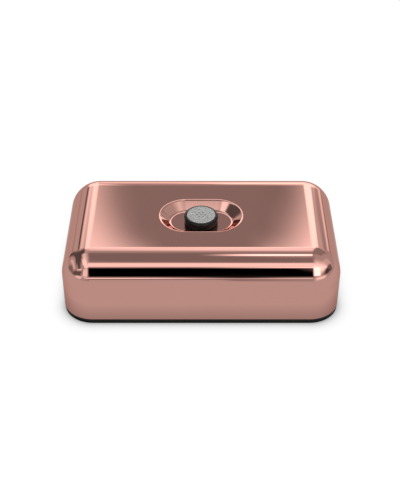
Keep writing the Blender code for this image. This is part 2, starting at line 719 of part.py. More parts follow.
def motor(axis):
    """The flat-sided brushed motor's fixed parts."""
    can = flat_sided("motor_can", MOTOR_RADIUS, MOTOR_HALF_HEIGHT, -16.8 * MM, 4.2 * MM, axis)
    room = flat_sided("can_room", MOTOR_RADIUS - 0.8 * MM, MOTOR_HALF_HEIGHT - 0.8 * MM,
                      -18 * MM, 3.2 * MM, axis)
    cut(
        join(can, cylinder("bearing_boss", 3.0 * MM, 3 * MM, 5.6 * MM, segments=20, parent=axis)),
        room,
        cylinder("front_bush_seat", 2.3 * MM, 1 * MM, 7 * MM, segments=16, parent=axis),
    )
    part(can, "steel")
    end_cap = flat_sided("motor_end_cap", MOTOR_RADIUS, MOTOR_HALF_HEIGHT, -19.4 * MM, -16.9 * MM, axis)
    join(end_cap, cylinder("rear_boss", 3.0 * MM, -20.4 * MM, -18 * MM, segments=20, parent=axis))
    cut(
        end_cap,
        cylinder("rear_bush_seat", 2.3 * MM, -19.9 * MM, -16 * MM, segments=16, parent=axis),
        *[box(f"terminal_slot_{i}", (1.4 * MM, 3.2 * MM, 8 * MM), (x, 0, -18 * MM), parent=axis)
          for i, x in enumerate((-6.5 * MM, 6.5 * MM))],
    )
    part(end_cap, "white_plastic")
    for name, low, high in (("front_bearing", 3.3 * MM, 5.5 * MM), ("rear_bearing", -19.7 * MM, -17.4 * MM)):
        part(turned(name, [
            (2.1 * MM, high),
            (2.1 * MM, low),
            (1.09 * MM, low),
            (1.09 * MM, high),
        ], 16, ring=True, parent=axis), "brass")
    for name, side in (("magnet_left", -1), ("magnet_right", 1)):
        magnet = cylinder(name, 9.0 * MM, -13 * MM, 0, segments=32, parent=axis)
        cut(
            magnet,
            cylinder(name + "_inside", 6.8 * MM, -15 * MM, 2 * MM, segments=32, parent=axis),
            slab(name + "_half", (20 * MM, 40 * MM), -15 * MM, 2 * MM, 0,
                 location=(-side * 5.6 * MM, 0, 0), parent=axis),
            *[slab(f"{name}_trim_{i}", (40 * MM, 20 * MM), -15 * MM, 2 * MM, 0,
                   location=(0, y, 0), parent=axis) for i, y in enumerate((-16.4 * MM, 16.4 * MM))],
        )
        part(magnet, "ferrite")
    for index, side in enumerate((-1, 1)):
        name = f"brush_terminal_{index + 1}"
        blade = box(name, (0.5 * MM, 2.4 * MM, 5.6 * MM), (side * 6.5 * MM, 0, -18.9 * MM), parent=axis)
        join(
            blade,
            box(f"brush_arm_{index}", (4.05 * MM, 1.8 * MM, 0.4 * MM), (side * 4.7 * MM, 0, -16.35 * MM),
                parent=axis),
            box(f"brush_{index}", (0.7 * MM, 1.4 * MM, 2.6 * MM), (side * 3.05 * MM, 0, -15.2 * MM),
                parent=axis),
        )
        part(blade, "brass")


# ---------------------------------------------------------------- electrics
def battery():
    low = BATTERY_CENTRE[2] - BATTERY_SIZE[2] / 2
    cell = box("battery_cell", BATTERY_SIZE, BATTERY_CENTRE, 1.2 * MM, 3)
    part(cell, "pouch")
    foam_size = (BATTERY_SIZE[0] - 4 * MM, BATTERY_SIZE[1] - 4 * MM, low - COVER_TOP - 0.1 * MM)
    part(box("battery_foam", foam_size,
             (BATTERY_CENTRE[0], BATTERY_CENTRE[1], COVER_TOP + 0.05 * MM + foam_size[2] / 2)), "foam")


def board_screw_places():
    return [(BOARD_CENTRE[0] + side * BOARD_SCREW_X, BOARD_SCREW_Y) for side in (-1, 1)]


def circuit_board():
    board = box("circuit_board", BOARD_SIZE, BOARD_CENTRE, 0.6 * MM, 1)
    cut(board, several_cylinders("board_holes", 1.1 * MM, 2 * MM, 7 * MM, board_screw_places(), 12))
    part(board, "board")
    for index, (x, y) in enumerate(board_screw_places()):
        cross_screw(f"board_screw_{index + 1}", "steel", 1.7 * MM, 0.8 * MM, 0.8 * MM, 3.2 * MM,
                    location=(x, y, BOARD_TOP + FLAT_GAP), rotation=(math.pi, 0, 0))
    seat = BOARD_TOP + 0.05 * MM
    part(box("controller_chip", (5 * MM, 4.4 * MM, 1.5 * MM), (-17 * MM, 14.5 * MM, seat + 0.75 * MM)),
         "black_plastic")
    part(box("lead_connector", (9 * MM, 4.2 * MM, 3.4 * MM), (-2 * MM, 14 * MM, seat + 1.7 * MM), 0.4 * MM, 1),
         "white_plastic")


def usb_socket():
    """The charging socket: a rounded steel shell, open to the rear, around a flat tongue."""
    outside = (8.9 * MM, 3.2 * MM)
    place = {"location": (USB_X, 0, USB_Z), "rotation": REAR_AXIS}
    shell = slab("usb_socket", outside, 19.2 * MM, 26.8 * MM, 1.5 * MM, 4, **place)
    inside = [side - 0.6 * MM for side in outside]
    cut(shell, slab("usb_mouth", inside, 20.2 * MM, 28 * MM, 1.2 * MM, 4, **place))
    part(shell, "steel")
    part(slab("usb_tongue", (6.6 * MM, 0.7 * MM), 20.3 * MM, 26.0 * MM, 0, **place), "black_plastic")


def power_button():
    """The push button in the rear wall, and the switch that it works."""
    place = {"location": (BUTTON_X, 0, BUTTON_Z), "rotation": REAR_AXIS}
    cap = slab("power_button", BUTTON_SIZE, 24.4 * MM, 26.95 * MM, 2.6 * MM, 5, **place)
    flange = (BUTTON_SIZE[0] + 2 * MM, BUTTON_SIZE[1] + 1.4 * MM)
    join(cap, slab("button_flange", flange, 24.2 * MM, 25.1 * MM, 3.2 * MM, 5, **place))
    part(cap, "black_plastic")
    switch_middle = BOARD_TOP + 0.05 * MM + 2.1 * MM
    inner_place = {"location": (BUTTON_X, 0, switch_middle), "rotation": REAR_AXIS}
    part(cylinder("switch_plunger", 1.2 * MM, 21.6 * MM, 24.1 * MM, segments=12, **inner_place),
         "white_plastic")
    switch = box("tact_switch", (6 * MM, 3.6 * MM, 4.2 * MM), (BUTTON_X, 20.9 * MM, switch_middle))
    cut(switch, cylinder("plunger_hole", 1.5 * MM, 20.8 * MM, 25 * MM, segments=12, **inner_place))
    part(switch, "black_plastic")


def status_light():
    seat = BOARD_TOP + 0.05 * MM
    part(box("status_led", (3 * MM, 1.6 * MM, 4.2 * MM), (LED_X, 21.6 * MM, seat + 2.1 * MM)), "white_plastic")
    pipe = turned("light_pipe", [
        (0, 26.95 * MM),
        (0.95 * MM, 26.85 * MM),
        (0.95 * MM, 25.2 * MM),
        (1.7 * MM, 25.2 * MM),
        (1.7 * MM, 24.4 * MM),
        (0.95 * MM, 24.4 * MM),
        (0.95 * MM, 22.7 * MM),
        (0, 22.7 * MM),
    ], 12, location=(LED_X, 0, BUTTON_Z), rotation=REAR_AXIS)
    part(pipe, "clear")


def lead(name, finish, route):
    wire = rod(name, smooth_route([(x * MM, y * MM, z * MM) for x, y, z in route], 1.3 * MM), 0.5 * MM)
    return part(wire, finish)


def leads():
    """The four insulated leads, each clear of what it passes."""
    lead("motor_lead_red", "red_wire", [
        (18.7, 21.2, 11.1), (17.2, 23.0, 10.8), (14.6, 21.9, 9.8),
        (12.0, 18.6, 8.8), (8.0, 15.8, 7.8), (2.9, 14.9, 7.1)])
    lead("motor_lead_black", "black_wire", [
        (31.7, 21.2, 11.1), (29.6, 22.8, 10.4), (25.0, 23.4, 9.4), (19.0, 22.9, 7.8),
        (15.0, 20.6, 7.2), (12.0, 15.6, 7.2), (8.0, 13.5, 7.4), (2.9, 13.3, 7.1)])
    lead("battery_lead_red", "red_wire", [
        (-6.3, 2.5, 10.2), (-5.6, 5.2, 9.8), (-5.2, 8.0, 8.6), (-5.0, 10.4, 7.4), (-5.0, 11.5, 7.1)])
    lead("battery_lead_black", "black_wire", [
        (-6.3, -1.2, 9.2), (-4.6, 2.6, 8.8), (-3.9, 6.6, 8.2), (-3.6, 9.6, 7.3), (-3.6, 11.5, 7.1)])


# ---------------------------------------------------------------- assembly
def main():
    upper_shell()
    bottom_cover()
    base_pad()
    cover_screws()

    tip(empty("tip_axis"))
    nozzle()
    suction_tube()

    pump_axis = empty("pump_axis", (PUMP_X, 0, PUMP_Z), FRONT_AXIS)
    pump_head(pump_axis)
    crankcase(pump_axis)
    wobble_yoke(rotor(pump_axis))
    motor(pump_axis)

    battery()
    circuit_board()
    usb_socket()
    power_button()
    status_light()
    leads()


main()
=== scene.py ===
"""Looks of a palm-size pore vacuum: a mirror-plated shell with a dished face, the push-on grit tip,
the rear controls, and a finish for every piece of the pump, motor, battery and board inside.

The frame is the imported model: metres, +Z up, -Y the long front side, and the origin under the middle
of the foot. Lengths are written as millimetres times MM."""

import math

import bmesh
import bpy
from mathutils import Matrix, Vector


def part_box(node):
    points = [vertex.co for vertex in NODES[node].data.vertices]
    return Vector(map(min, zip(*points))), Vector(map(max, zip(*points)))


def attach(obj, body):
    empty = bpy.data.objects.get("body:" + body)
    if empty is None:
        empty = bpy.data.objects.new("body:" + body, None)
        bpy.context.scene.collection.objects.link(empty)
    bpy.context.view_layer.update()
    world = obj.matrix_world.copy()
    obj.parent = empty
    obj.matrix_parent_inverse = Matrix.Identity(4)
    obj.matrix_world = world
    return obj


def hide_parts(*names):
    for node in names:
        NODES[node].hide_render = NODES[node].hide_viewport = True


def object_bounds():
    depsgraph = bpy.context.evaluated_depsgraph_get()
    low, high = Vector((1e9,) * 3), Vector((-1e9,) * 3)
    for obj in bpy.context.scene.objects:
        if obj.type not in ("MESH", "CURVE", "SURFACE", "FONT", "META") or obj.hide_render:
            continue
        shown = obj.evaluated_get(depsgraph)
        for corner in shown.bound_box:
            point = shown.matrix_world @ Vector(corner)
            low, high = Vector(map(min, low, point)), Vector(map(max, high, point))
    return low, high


MM = 0.001
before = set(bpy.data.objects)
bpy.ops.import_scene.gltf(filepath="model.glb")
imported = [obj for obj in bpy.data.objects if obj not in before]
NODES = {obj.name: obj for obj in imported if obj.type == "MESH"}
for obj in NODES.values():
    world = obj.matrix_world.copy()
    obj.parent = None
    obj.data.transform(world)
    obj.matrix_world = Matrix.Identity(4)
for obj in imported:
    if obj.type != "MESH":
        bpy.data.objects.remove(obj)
CAD_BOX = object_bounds()


# ---------------------------------------------------------------- sizes
# Outlines come from the frame. A ring of the shell is a rectangle "core" grown by a reach, so that
# the plated box, the dish and the tip hole are all rings of one family.
SHELL_LOW, SHELL_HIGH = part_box("upper_shell")
SHELL_TOP = SHELL_HIGH.z
SHELL_BOTTOM = SHELL_LOW.z
CORNER = 10 * MM
BOX_CORE = (SHELL_HIGH.x - CORNER, SHELL_HIGH.y - CORNER)
SHOULDER = SHELL_TOP - CORNER
WALL = 1.5 * MM
BALL_STEPS = 40
WELD = 0.0005 * MM
ON_SKIN = 0.002 * MM
CORNER_STEPS = 40
LOWER_EDGE = 0.3 * MM

DISH_CORE = (4.8 * MM, 0.0)
DISH_RIM = 8.8 * MM
DISH_FLOOR_REACH = 5.53 * MM
DISH_FLOOR = SHELL_TOP - 2.5 * MM
DISH_UNDERSIDE = DISH_FLOOR - 1.4 * MM
DISH_SLOPE = math.atan2(SHELL_TOP - DISH_FLOOR, DISH_RIM - DISH_FLOOR_REACH)
DISH_BACKING = 1.5 * MM
RIM_FILLET = 1.3 * MM
FLOOR_FILLET = 1.55 * MM
TIP_HOLE = 3.7 * MM
HOLE_EDGE = 0.2 * MM
HOLE_CORE = (0.0, 0.0)

REAR = SHELL_HIGH.y
MOUTH_CHAMFER = 0.22 * MM
CUT_INWARD = 4 * MM
CUT_OUTWARD = 2 * MM
VENT_COUNT = 5
VENT_PITCH = 2.6 * MM
VENT_MIDDLE = 28 * MM
VENT_SIZE = (1.2 * MM, 6 * MM)
CONTROL_LEVEL = 8.2 * MM
SCREEN_WIRE = 0.07 * MM
SCREEN_PITCH = 0.45 * MM
SCREEN_COUNTS = (30, 16)
SCREEN_SIZE = (13.3 * MM, 7.1 * MM)
SCREEN_GAP = 0.3 * MM
LIGHT_MOUTH = 1.3 * MM
USB_MOUTH = (2.9 * MM, 1.9 * MM)
USB_LEVEL = 6.95 * MM
BUTTON_GAP = 0.25 * MM

# Screw posts and their bores: radius, bottom, top and the places they stand.
BOSS_POST = (2.6 * MM, 4.8 * MM, 19.4 * MM)
BOSS_BORE = (1.1 * MM, 4.0 * MM, 13.0 * MM)
BOSS_CENTRES = [(sx * 39.3 * MM, sy * 19 * MM) for sx in (-1, 1) for sy in (-1, 1)]
NOZZLE_POST = (2.0 * MM, 18.9 * MM, 21.3 * MM)
NOZZLE_BORE = (1.0 * MM, 18.0 * MM, 20.8 * MM)
NOZZLE_CENTRES = [(-12.8 * MM, 0.0), (12.8 * MM, 0.0)]

FOOT_EDGE = 0.14 * MM
GROOVE_DEPTH = 0.25 * MM
BUTTON_EDGE = 0.5 * MM
BUTTON_HOLLOW = 0.32 * MM

TIP_TOP = CAD_BOX[1].z
NECK = 5.58 * MM
DISC_REACH = 4.7 * MM
POCKET = 4.76 * MM
PINHOLE = 0.22 * MM
PINHOLE_CIRCLE = 1.3 * MM
PINHOLES_ROUND = 6
GRAIN = 0.075 * MM
GRAINS_PER_SQUARE_METRE = 3.2e7

STUDIO_LEVEL = 0.70
TABLE_GLOW = 1.02
FOOT_SHADOW = 0.59
SHADOW_REACH = 9.2 * MM
CONTACT_FADE = 1.6 * MM
CONTACT_DEPTH = 0.55


# ---------------------------------------------------------------- node plumbing
def fill(tree, node, inputs):
    """Gives each input socket, by name or number, a value or another node's output."""
    for socket, value in inputs.items():
        if isinstance(value, bpy.types.NodeSocket):
            tree.links.new(value, node.inputs[socket])
        else:
            node.inputs[socket].default_value = value
    return node


def place(tree, kind, inputs=None, **settings):
    """Adds a node with its settings made and its inputs filled."""
    made = tree.nodes.new(kind)
    for name, value in settings.items():
        setattr(made, name, value)
    return fill(tree, made, inputs or {})


def calc(tree, operation, *values):
    """One Math node's result."""
    return place(tree, "ShaderNodeMath", dict(enumerate(values)), operation=operation).outputs[0]


def new_tree(name, kind, inputs, outputs):
    """A node group with its sockets. Each socket is (name, type) or (name, type, default)."""
    tree = bpy.data.node_groups.new(name, kind)
    for in_out, sockets in (("INPUT", inputs), ("OUTPUT", outputs)):
        for title, socket_type, *default in sockets:
            made = tree.interface.new_socket(name=title, in_out=in_out, socket_type=socket_type)
            if default:
                made.default_value = default[0]
    return tree, tree.nodes.new("NodeGroupInput").outputs, tree.nodes.new("NodeGroupOutput")


def group_node(tree, group, inputs):
    """Adds a shader group with its inputs filled."""
    made = tree.nodes.new("ShaderNodeGroup")
    made.node_tree = group
    return fill(tree, made, inputs)


# ---------------------------------------------------------------- shape trees
def end_tree(tree, result, geometry, finish):
    """Every shape tree ends in real faces with their material."""
    real = place(tree, "GeometryNodeRealizeInstances", {"Geometry": geometry}).outputs[0]
    coated = place(tree, "GeometryNodeSetMaterial", {"Geometry": real, "Material": finish})
    tree.links.new(coated.outputs[0], result.inputs[0])
    return tree


def ring_loft_tree():
    """Skins a list of stations. A station is a vertex: X and Y are its core's half sides, Z is its
    height, and the attribute reach is how far its ring stands off that core."""
    tree, given, result = new_tree(
        "ring_loft", "GeometryNodeTree",
        [("Stations", "NodeSocketGeometry"), ("Corner Steps", "NodeSocketInt", 24),
         ("Weld Distance", "NodeSocketFloat", 0.000001), ("Finish", "NodeSocketMaterial")],
        [("Geometry", "NodeSocketGeometry")],
    )
    count = place(tree, "GeometryNodeAttributeDomainSize", {"Geometry": given["Stations"]})
    quarter_points = calc(tree, "ADD", given["Corner Steps"], 1.0)
    ring_points = calc(tree, "MULTIPLY", quarter_points, 4.0)
    columns = calc(tree, "ADD", ring_points, 1.0)
    grid = place(tree, "GeometryNodeMeshGrid", {
        "Vertices X": count.outputs["Point Count"], "Vertices Y": columns,
    })
    index = place(tree, "GeometryNodeInputIndex").outputs[0]
    station = calc(tree, "FLOOR", calc(tree, "DIVIDE", calc(tree, "ADD", index, 0.5), columns))
    along = calc(tree, "SUBTRACT", index, calc(tree, "MULTIPLY", station, columns))
    wrapped = calc(tree, "MULTIPLY", ring_points, calc(tree, "GREATER_THAN", along,
                                                       calc(tree, "SUBTRACT", ring_points, 0.5)))
    along = calc(tree, "SUBTRACT", along, wrapped)
    quarter = calc(tree, "FLOOR", calc(tree, "DIVIDE", calc(tree, "ADD", along, 0.5), quarter_points))
    step = calc(tree, "SUBTRACT", along, calc(tree, "MULTIPLY", quarter, quarter_points))
    share = calc(tree, "DIVIDE", step, given["Corner Steps"])
    angle = calc(tree, "MULTIPLY", calc(tree, "ADD", quarter, share), math.pi / 2)
    diagonal = calc(tree, "MULTIPLY", calc(tree, "ADD", quarter, 0.5), math.pi / 2)
    position = place(tree, "GeometryNodeInputPosition").outputs[0]
    reach = place(tree, "GeometryNodeInputNamedAttribute", {"Name": "reach"}, data_type="FLOAT")
    core = place(tree, "GeometryNodeSampleIndex", {
        "Geometry": given["Stations"], "Value": position, "Index": station,
    }, data_type="FLOAT_VECTOR")
    stand_off = place(tree, "GeometryNodeSampleIndex", {
        "Geometry": given["Stations"], "Value": reach.outputs[0], "Index": station,
    }, data_type="FLOAT").outputs[0]
    sides = place(tree, "ShaderNodeSeparateXYZ", {0: core.outputs[0]}).outputs
    places = []
    for side, turn in ((sides[0], "COSINE"), (sides[1], "SINE")):
        corner = calc(tree, "MULTIPLY", side, calc(tree, "SIGN", calc(tree, turn, diagonal)))
        places.append(calc(tree, "MULTIPLY_ADD", stand_off, calc(tree, turn, angle), corner))
    spot = place(tree, "ShaderNodeCombineXYZ", {0: places[0], 1: places[1], 2: sides[2]})
    moved = place(tree, "GeometryNodeSetPosition", {
        "Geometry": grid.outputs["Mesh"], "Position": spot.outputs[0],
    })
    welded = place(tree, "GeometryNodeMergeByDistance", {
        "Geometry": moved.outputs[0], "Distance": given["Weld Distance"],
    })
    return end_tree(tree, result, welded.outputs[0], given["Finish"])


def row_tree():
    """Copies its shape along X about the middle."""
    tree, given, result = new_tree(
        "row_of_copies", "GeometryNodeTree",
        [("Shape", "NodeSocketGeometry"), ("Count", "NodeSocketInt", 5),
         ("Pitch", "NodeSocketFloat", 0.0026), ("Finish", "NodeSocketMaterial")],
        [("Geometry", "NodeSocketGeometry")],
    )
    half = calc(tree, "MULTIPLY", calc(tree, "SUBTRACT", given["Count"], 1.0), -0.5)
    start = place(tree, "ShaderNodeCombineXYZ", {0: calc(tree, "MULTIPLY", half, given["Pitch"])})
    pitch = place(tree, "ShaderNodeCombineXYZ", {0: given["Pitch"]})
    line = place(tree, "GeometryNodeMeshLine", {
        "Count": given["Count"], "Start Location": start.outputs[0], "Offset": pitch.outputs[0],
    })
    copies = place(tree, "GeometryNodeInstanceOnPoints", {
        "Points": line.outputs[0], "Instance": given["Shape"],
    })
    return end_tree(tree, result, copies.outputs[0], given["Finish"])


def circle_tree():
    """Copies its shape round a circle, and once at the centre."""
    tree, given, result = new_tree(
        "circle_of_copies", "GeometryNodeTree",
        [("Shape", "NodeSocketGeometry"), ("Count", "NodeSocketInt", 6),
         ("Circle Radius", "NodeSocketFloat", 0.0013), ("Finish", "NodeSocketMaterial")],
        [("Geometry", "NodeSocketGeometry")],
    )
    circle = place(tree, "GeometryNodeMeshCircle", {
        "Vertices": given["Count"], "Radius": given["Circle Radius"],
    })
    copies = place(tree, "GeometryNodeInstanceOnPoints", {
        "Points": circle.outputs[0], "Instance": given["Shape"],
    })
    whole = place(tree, "GeometryNodeJoinGeometry")
    tree.links.new(copies.outputs[0], whole.inputs[0])
    tree.links.new(given["Shape"], whole.inputs[0])
    return end_tree(tree, result, whole.outputs[0], given["Finish"])


def grit_tree():
    """Scatters small hard grains over the faces that look up."""
    tree, given, result = new_tree(
        "bonded_grit", "GeometryNodeTree",
        [("Plate", "NodeSocketGeometry"), ("Grains Per Area", "NodeSocketFloat", 1.0),
         ("Grain Radius", "NodeSocketFloat", 0.0001), ("Seed", "NodeSocketInt", 3),
         ("Finish", "NodeSocketMaterial")],
        [("Geometry", "NodeSocketGeometry")],
    )
    normal = place(tree, "GeometryNodeInputNormal").outputs[0]
    upward = place(tree, "ShaderNodeSeparateXYZ", {0: normal}).outputs[2]
    facing = place(tree, "FunctionNodeCompare", {0: upward, 1: 0.99},
                   data_type="FLOAT", operation="GREATER_THAN")
    points = place(tree, "GeometryNodeDistributePointsOnFaces", {
        "Mesh": given["Plate"], "Selection": facing.outputs[0],
        "Density": given["Grains Per Area"], "Seed": given["Seed"],
    }, distribute_method="RANDOM")
    grain = place(tree, "GeometryNodeMeshIcoSphere", {"Radius": given["Grain Radius"], "Subdivisions": 1})
    turn = place(tree, "FunctionNodeRandomValue", {
        0: (0, 0, 0), 1: (math.tau, math.tau, math.tau), "Seed": given["Seed"],
    }, data_type="FLOAT_VECTOR")
    bulk = place(tree, "FunctionNodeRandomValue", {
        0: (0.5, 0.5, 0.45), 1: (1.2, 1.2, 0.8), "Seed": calc(tree, "ADD", given["Seed"], 7.0),
    }, data_type="FLOAT_VECTOR")
    copies = place(tree, "GeometryNodeInstanceOnPoints", {
        "Points": points.outputs["Points"], "Instance": grain.outputs["Mesh"],
        "Rotation": turn.outputs[0], "Scale": bulk.outputs[0],
    })
    return end_tree(tree, result, copies.outputs[0], given["Finish"])


# ---------------------------------------------------------------- mesh work
def link_object(name, mesh):
    made = bpy.data.objects.new(name, mesh)
    bpy.context.scene.collection.objects.link(made)
    return made


def settle(obj):
    """Turns the evaluated object into its own plain mesh, in its first finish, without modifiers."""
    bpy.context.view_layer.update()
    graph = bpy.context.evaluated_depsgraph_get()
    mesh = bpy.data.meshes.new_from_object(obj.evaluated_get(graph), depsgraph=graph)
    obj.modifiers.clear()
    obj.data = mesh
    mesh.name = obj.name
    worn = [finish for finish in mesh.materials if finish]
    mesh.polygons.foreach_set("material_index", [0] * len(mesh.polygons))
    mesh.materials.clear()
    for finish in worn[:1]:
        mesh.materials.append(finish)
    return obj


def run_tree(obj, tree, values):
    """Sets the tree's named inputs by their identifiers, then settles the result."""
    modifier = obj.modifiers.new(tree.name, "NODES")
    modifier.node_group = tree
    for item in tree.interface.items_tree:
        if item.in_out == "INPUT" and item.name in values:
            modifier[item.identifier] = values[item.name]
    return settle(obj)


def face_outwards(obj):
    shape = bmesh.new()
    shape.from_mesh(obj.data)
    bmesh.ops.recalc_face_normals(shape, faces=shape.faces)
    shape.to_mesh(obj.data)
    shape.free()
    return obj


def shade(obj, sharp_angle=32):
    obj.data.shade_smooth()
    obj.data.set_sharp_from_angle(angle=math.radians(sharp_angle))
    return obj


def loft(name, stations, finish, steps=24):
    """A closed body skinned through (core, reach, height) stations."""
    mesh = bpy.data.meshes.new(name)
    mesh.from_pydata([(core[0], core[1], height) for core, _, height in stations], [], [])
    reach = mesh.attributes.new("reach", "FLOAT", "POINT")
    reach.data.foreach_set("value", [station[1] for station in stations])
    made = run_tree(link_object(name, mesh), TREES["ring_loft"], {"Corner Steps": steps, "Finish": finish})
    return shade(face_outwards(made))


def turned(name, profile, finish, steps=24):
    """A round body from (radius, height) points."""
    return loft(name, [(HOLE_CORE, radius, height) for radius, height in profile], finish, steps)


def move(obj, matrix):
    obj.data.transform(matrix)
    return obj


def combine(target, others, operation):
    """Booleans the helpers into the target and removes them. Cut faces take its finish, and the
    slivers that cutting leaves are welded."""
    for other in others:
        cut = target.modifiers.new(other.name, "BOOLEAN")
        cut.operation = operation
        cut.solver = "EXACT"
        cut.object = other
    settle(target)
    shape = bmesh.new()
    shape.from_mesh(target.data)
    bmesh.ops.remove_doubles(shape, verts=shape.verts, dist=WELD)
    bmesh.ops.triangulate(shape, faces=[face for face in shape.faces if len(face.verts) > 4])
    shape.to_mesh(target.data)
    shape.free()
    for other in others:
        bpy.data.objects.remove(other, do_unlink=True)
    return target


def arc(centre, radius, start, stop, steps):
    """Points on an arc in the (reach, height) plane. Angles are degrees, anticlockwise from outwards."""
    turns = [math.radians(start + (stop - start) * i / steps) for i in range(steps + 1)]
    return [(centre[0] + radius * math.cos(t), centre[1] + radius * math.sin(t)) for t in turns]


def smooth_line(points, steps):
    """A curve that passes evenly through its points."""
    route = [Vector(point) for point in points]
    ends = [2 * route[0] - route[1], *route, 2 * route[-1] - route[-2]]
    found = []
    for before, start, stop, after in zip(ends, ends[1:], ends[2:], ends[3:]):
        for step in range(steps):
            t = step / steps
            found.append(0.5 * (2 * start + (stop - before) * t
                                + (2 * before - 5 * start + 4 * stop - after) * t ** 2
                                + (3 * start - before - 3 * stop + after) * t ** 3))
    return [tuple(point) for point in [*found, route[-1]]]


def stations_on(core, profile):
    return [(core, reach, height) for reach, height in profile]


# ---------------------------------------------------------------- plated shell
def dish_arcs():
    """The rim's and the floor's fillets, each as (centre, radius) in the (reach, height) plane."""
    rim_shift = RIM_FILLET * math.tan(DISH_SLOPE / 2)
    floor_shift = FLOOR_FILLET * math.tan(DISH_SLOPE / 2)
    rim = ((DISH_RIM + rim_shift, SHELL_TOP - RIM_FILLET), RIM_FILLET)
    floor = ((DISH_FLOOR_REACH - floor_shift, DISH_FLOOR + FLOOR_FILLET), FLOOR_FILLET)
    return rim, floor


def shell_stations():
    """Rings up the outside, over the ball edge, down the dish, through the hole and back inside."""
    rim, floor = dish_arcs()
    slope = math.degrees(DISH_SLOPE)
    lower = arc((CORNER - LOWER_EDGE, SHELL_BOTTOM + LOWER_EDGE), LOWER_EDGE, -90, 0, 4)
    outer = arc((0, SHOULDER), CORNER, 0, 90, BALL_STEPS)
    dish = [*arc(*rim, 90, 90 + slope, 8), *arc(*floor, slope - 90, -90, 8)]
    hole = [*arc((TIP_HOLE + HOLE_EDGE, DISH_FLOOR - HOLE_EDGE), HOLE_EDGE, 90, 180, 4),
            *arc((TIP_HOLE + 0.1 * MM, DISH_UNDERSIDE + 0.1 * MM), 0.1 * MM, 180, 270, 2)]
    roof = SHELL_TOP - WALL
    run = 1 / math.tan(DISH_SLOPE)
    backing = [(DISH_FLOOR_REACH + DISH_BACKING + run * (level - DISH_FLOOR), level)
               for level in (DISH_UNDERSIDE, roof)]
    inner = arc((0, SHOULDER), CORNER - WALL, 90, 0, 16)
    closing = [(CORNER - WALL, SHELL_BOTTOM), lower[0]]
    return [
        *stations_on(BOX_CORE, [*lower, *outer]),
        *stations_on(DISH_CORE, dish),
        *stations_on(HOLE_CORE, hole),
        *stations_on(DISH_CORE, backing),
        *stations_on(BOX_CORE, [*inner, *closing]),
    ]


def rear_opening(name, x, z, half_straight, radius, upright=False):
    """A round-ended cutter through the rear wall, wider at its mouth by the chamfer."""
    wide = radius + 2 * MOUTH_CHAMFER
    side = [(radius, -CUT_INWARD), (radius, -MOUTH_CHAMFER), (wide, MOUTH_CHAMFER), (wide, CUT_OUTWARD)]
    stations = [(HOLE_CORE, 0, -CUT_INWARD), *stations_on((half_straight, 0.0), side),
                (HOLE_CORE, 0, CUT_OUTWARD)]
    made = loft(name, stations, None, 16)
    turn = Matrix.Rotation(math.radians(-90), 4, "X")
    if upright:
        turn = turn @ Matrix.Rotation(math.radians(90), 4, "Z")
    return move(made, Matrix.Translation((x, REAR, z)) @ turn)


def posts(name, size, centres):
    """Upright round bars, one at each centre. Size is (radius, bottom, top)."""
    radius, low, high = size
    made = []
    for number, centre in enumerate(centres):
        bar = turned(f"{name}_{number}", [(0, low), (radius, low), (radius, high), (0, high)], None, 6)
        made.append(move(bar, Matrix.Translation((*centre, 0))))
    return made


def outer_normal(point):
    """The exact normal of the plated skin at a point on it, or None for any other point."""
    anchor = Vector((
        min(max(point.x, -BOX_CORE[0]), BOX_CORE[0]),
        min(max(point.y, -BOX_CORE[1]), BOX_CORE[1]),
        min(point.z, SHOULDER),
    ))
    away = point - anchor
    if abs(away.length - CORNER) < ON_SKIN:
        return away.normalized()
    across = Vector((point.x - min(max(point.x, -DISH_CORE[0]), DISH_CORE[0]), point.y))
    reach = across.length
    if abs(point.z - DISH_FLOOR) < ON_SKIN and reach < DISH_FLOOR_REACH:
        return Vector((0, 0, 1))
    if reach > DISH_RIM + RIM_FILLET or point.z < DISH_FLOOR - ON_SKIN:
        return None
    outward = across / reach
    for (centre, radius), sign in zip(dish_arcs(), (1, -1)):
        off = Vector((reach - centre[0], point.z - centre[1]))
        if abs(off.length - radius) < ON_SKIN:
            flat = sign * off.x / radius
            return Vector((outward.x * flat, outward.y * flat, sign * off.y / radius)).normalized()
    return None


def polish_normals(obj):
    """Gives each corner on the plated skin its exact normal, so that reflections run unbroken."""
    mesh = obj.data
    found = [outer_normal(vertex.co) for vertex in mesh.vertices]
    normals = [Vector(corner.vector) for corner in mesh.corner_normals]
    for face in mesh.polygons:
        for loop in face.loop_indices:
            exact = found[mesh.loops[loop].vertex_index]
            if exact is not None and exact.dot(face.normal) > 0.9:
                normals[loop] = exact
    mesh.normals_split_custom_set(normals)
    return obj


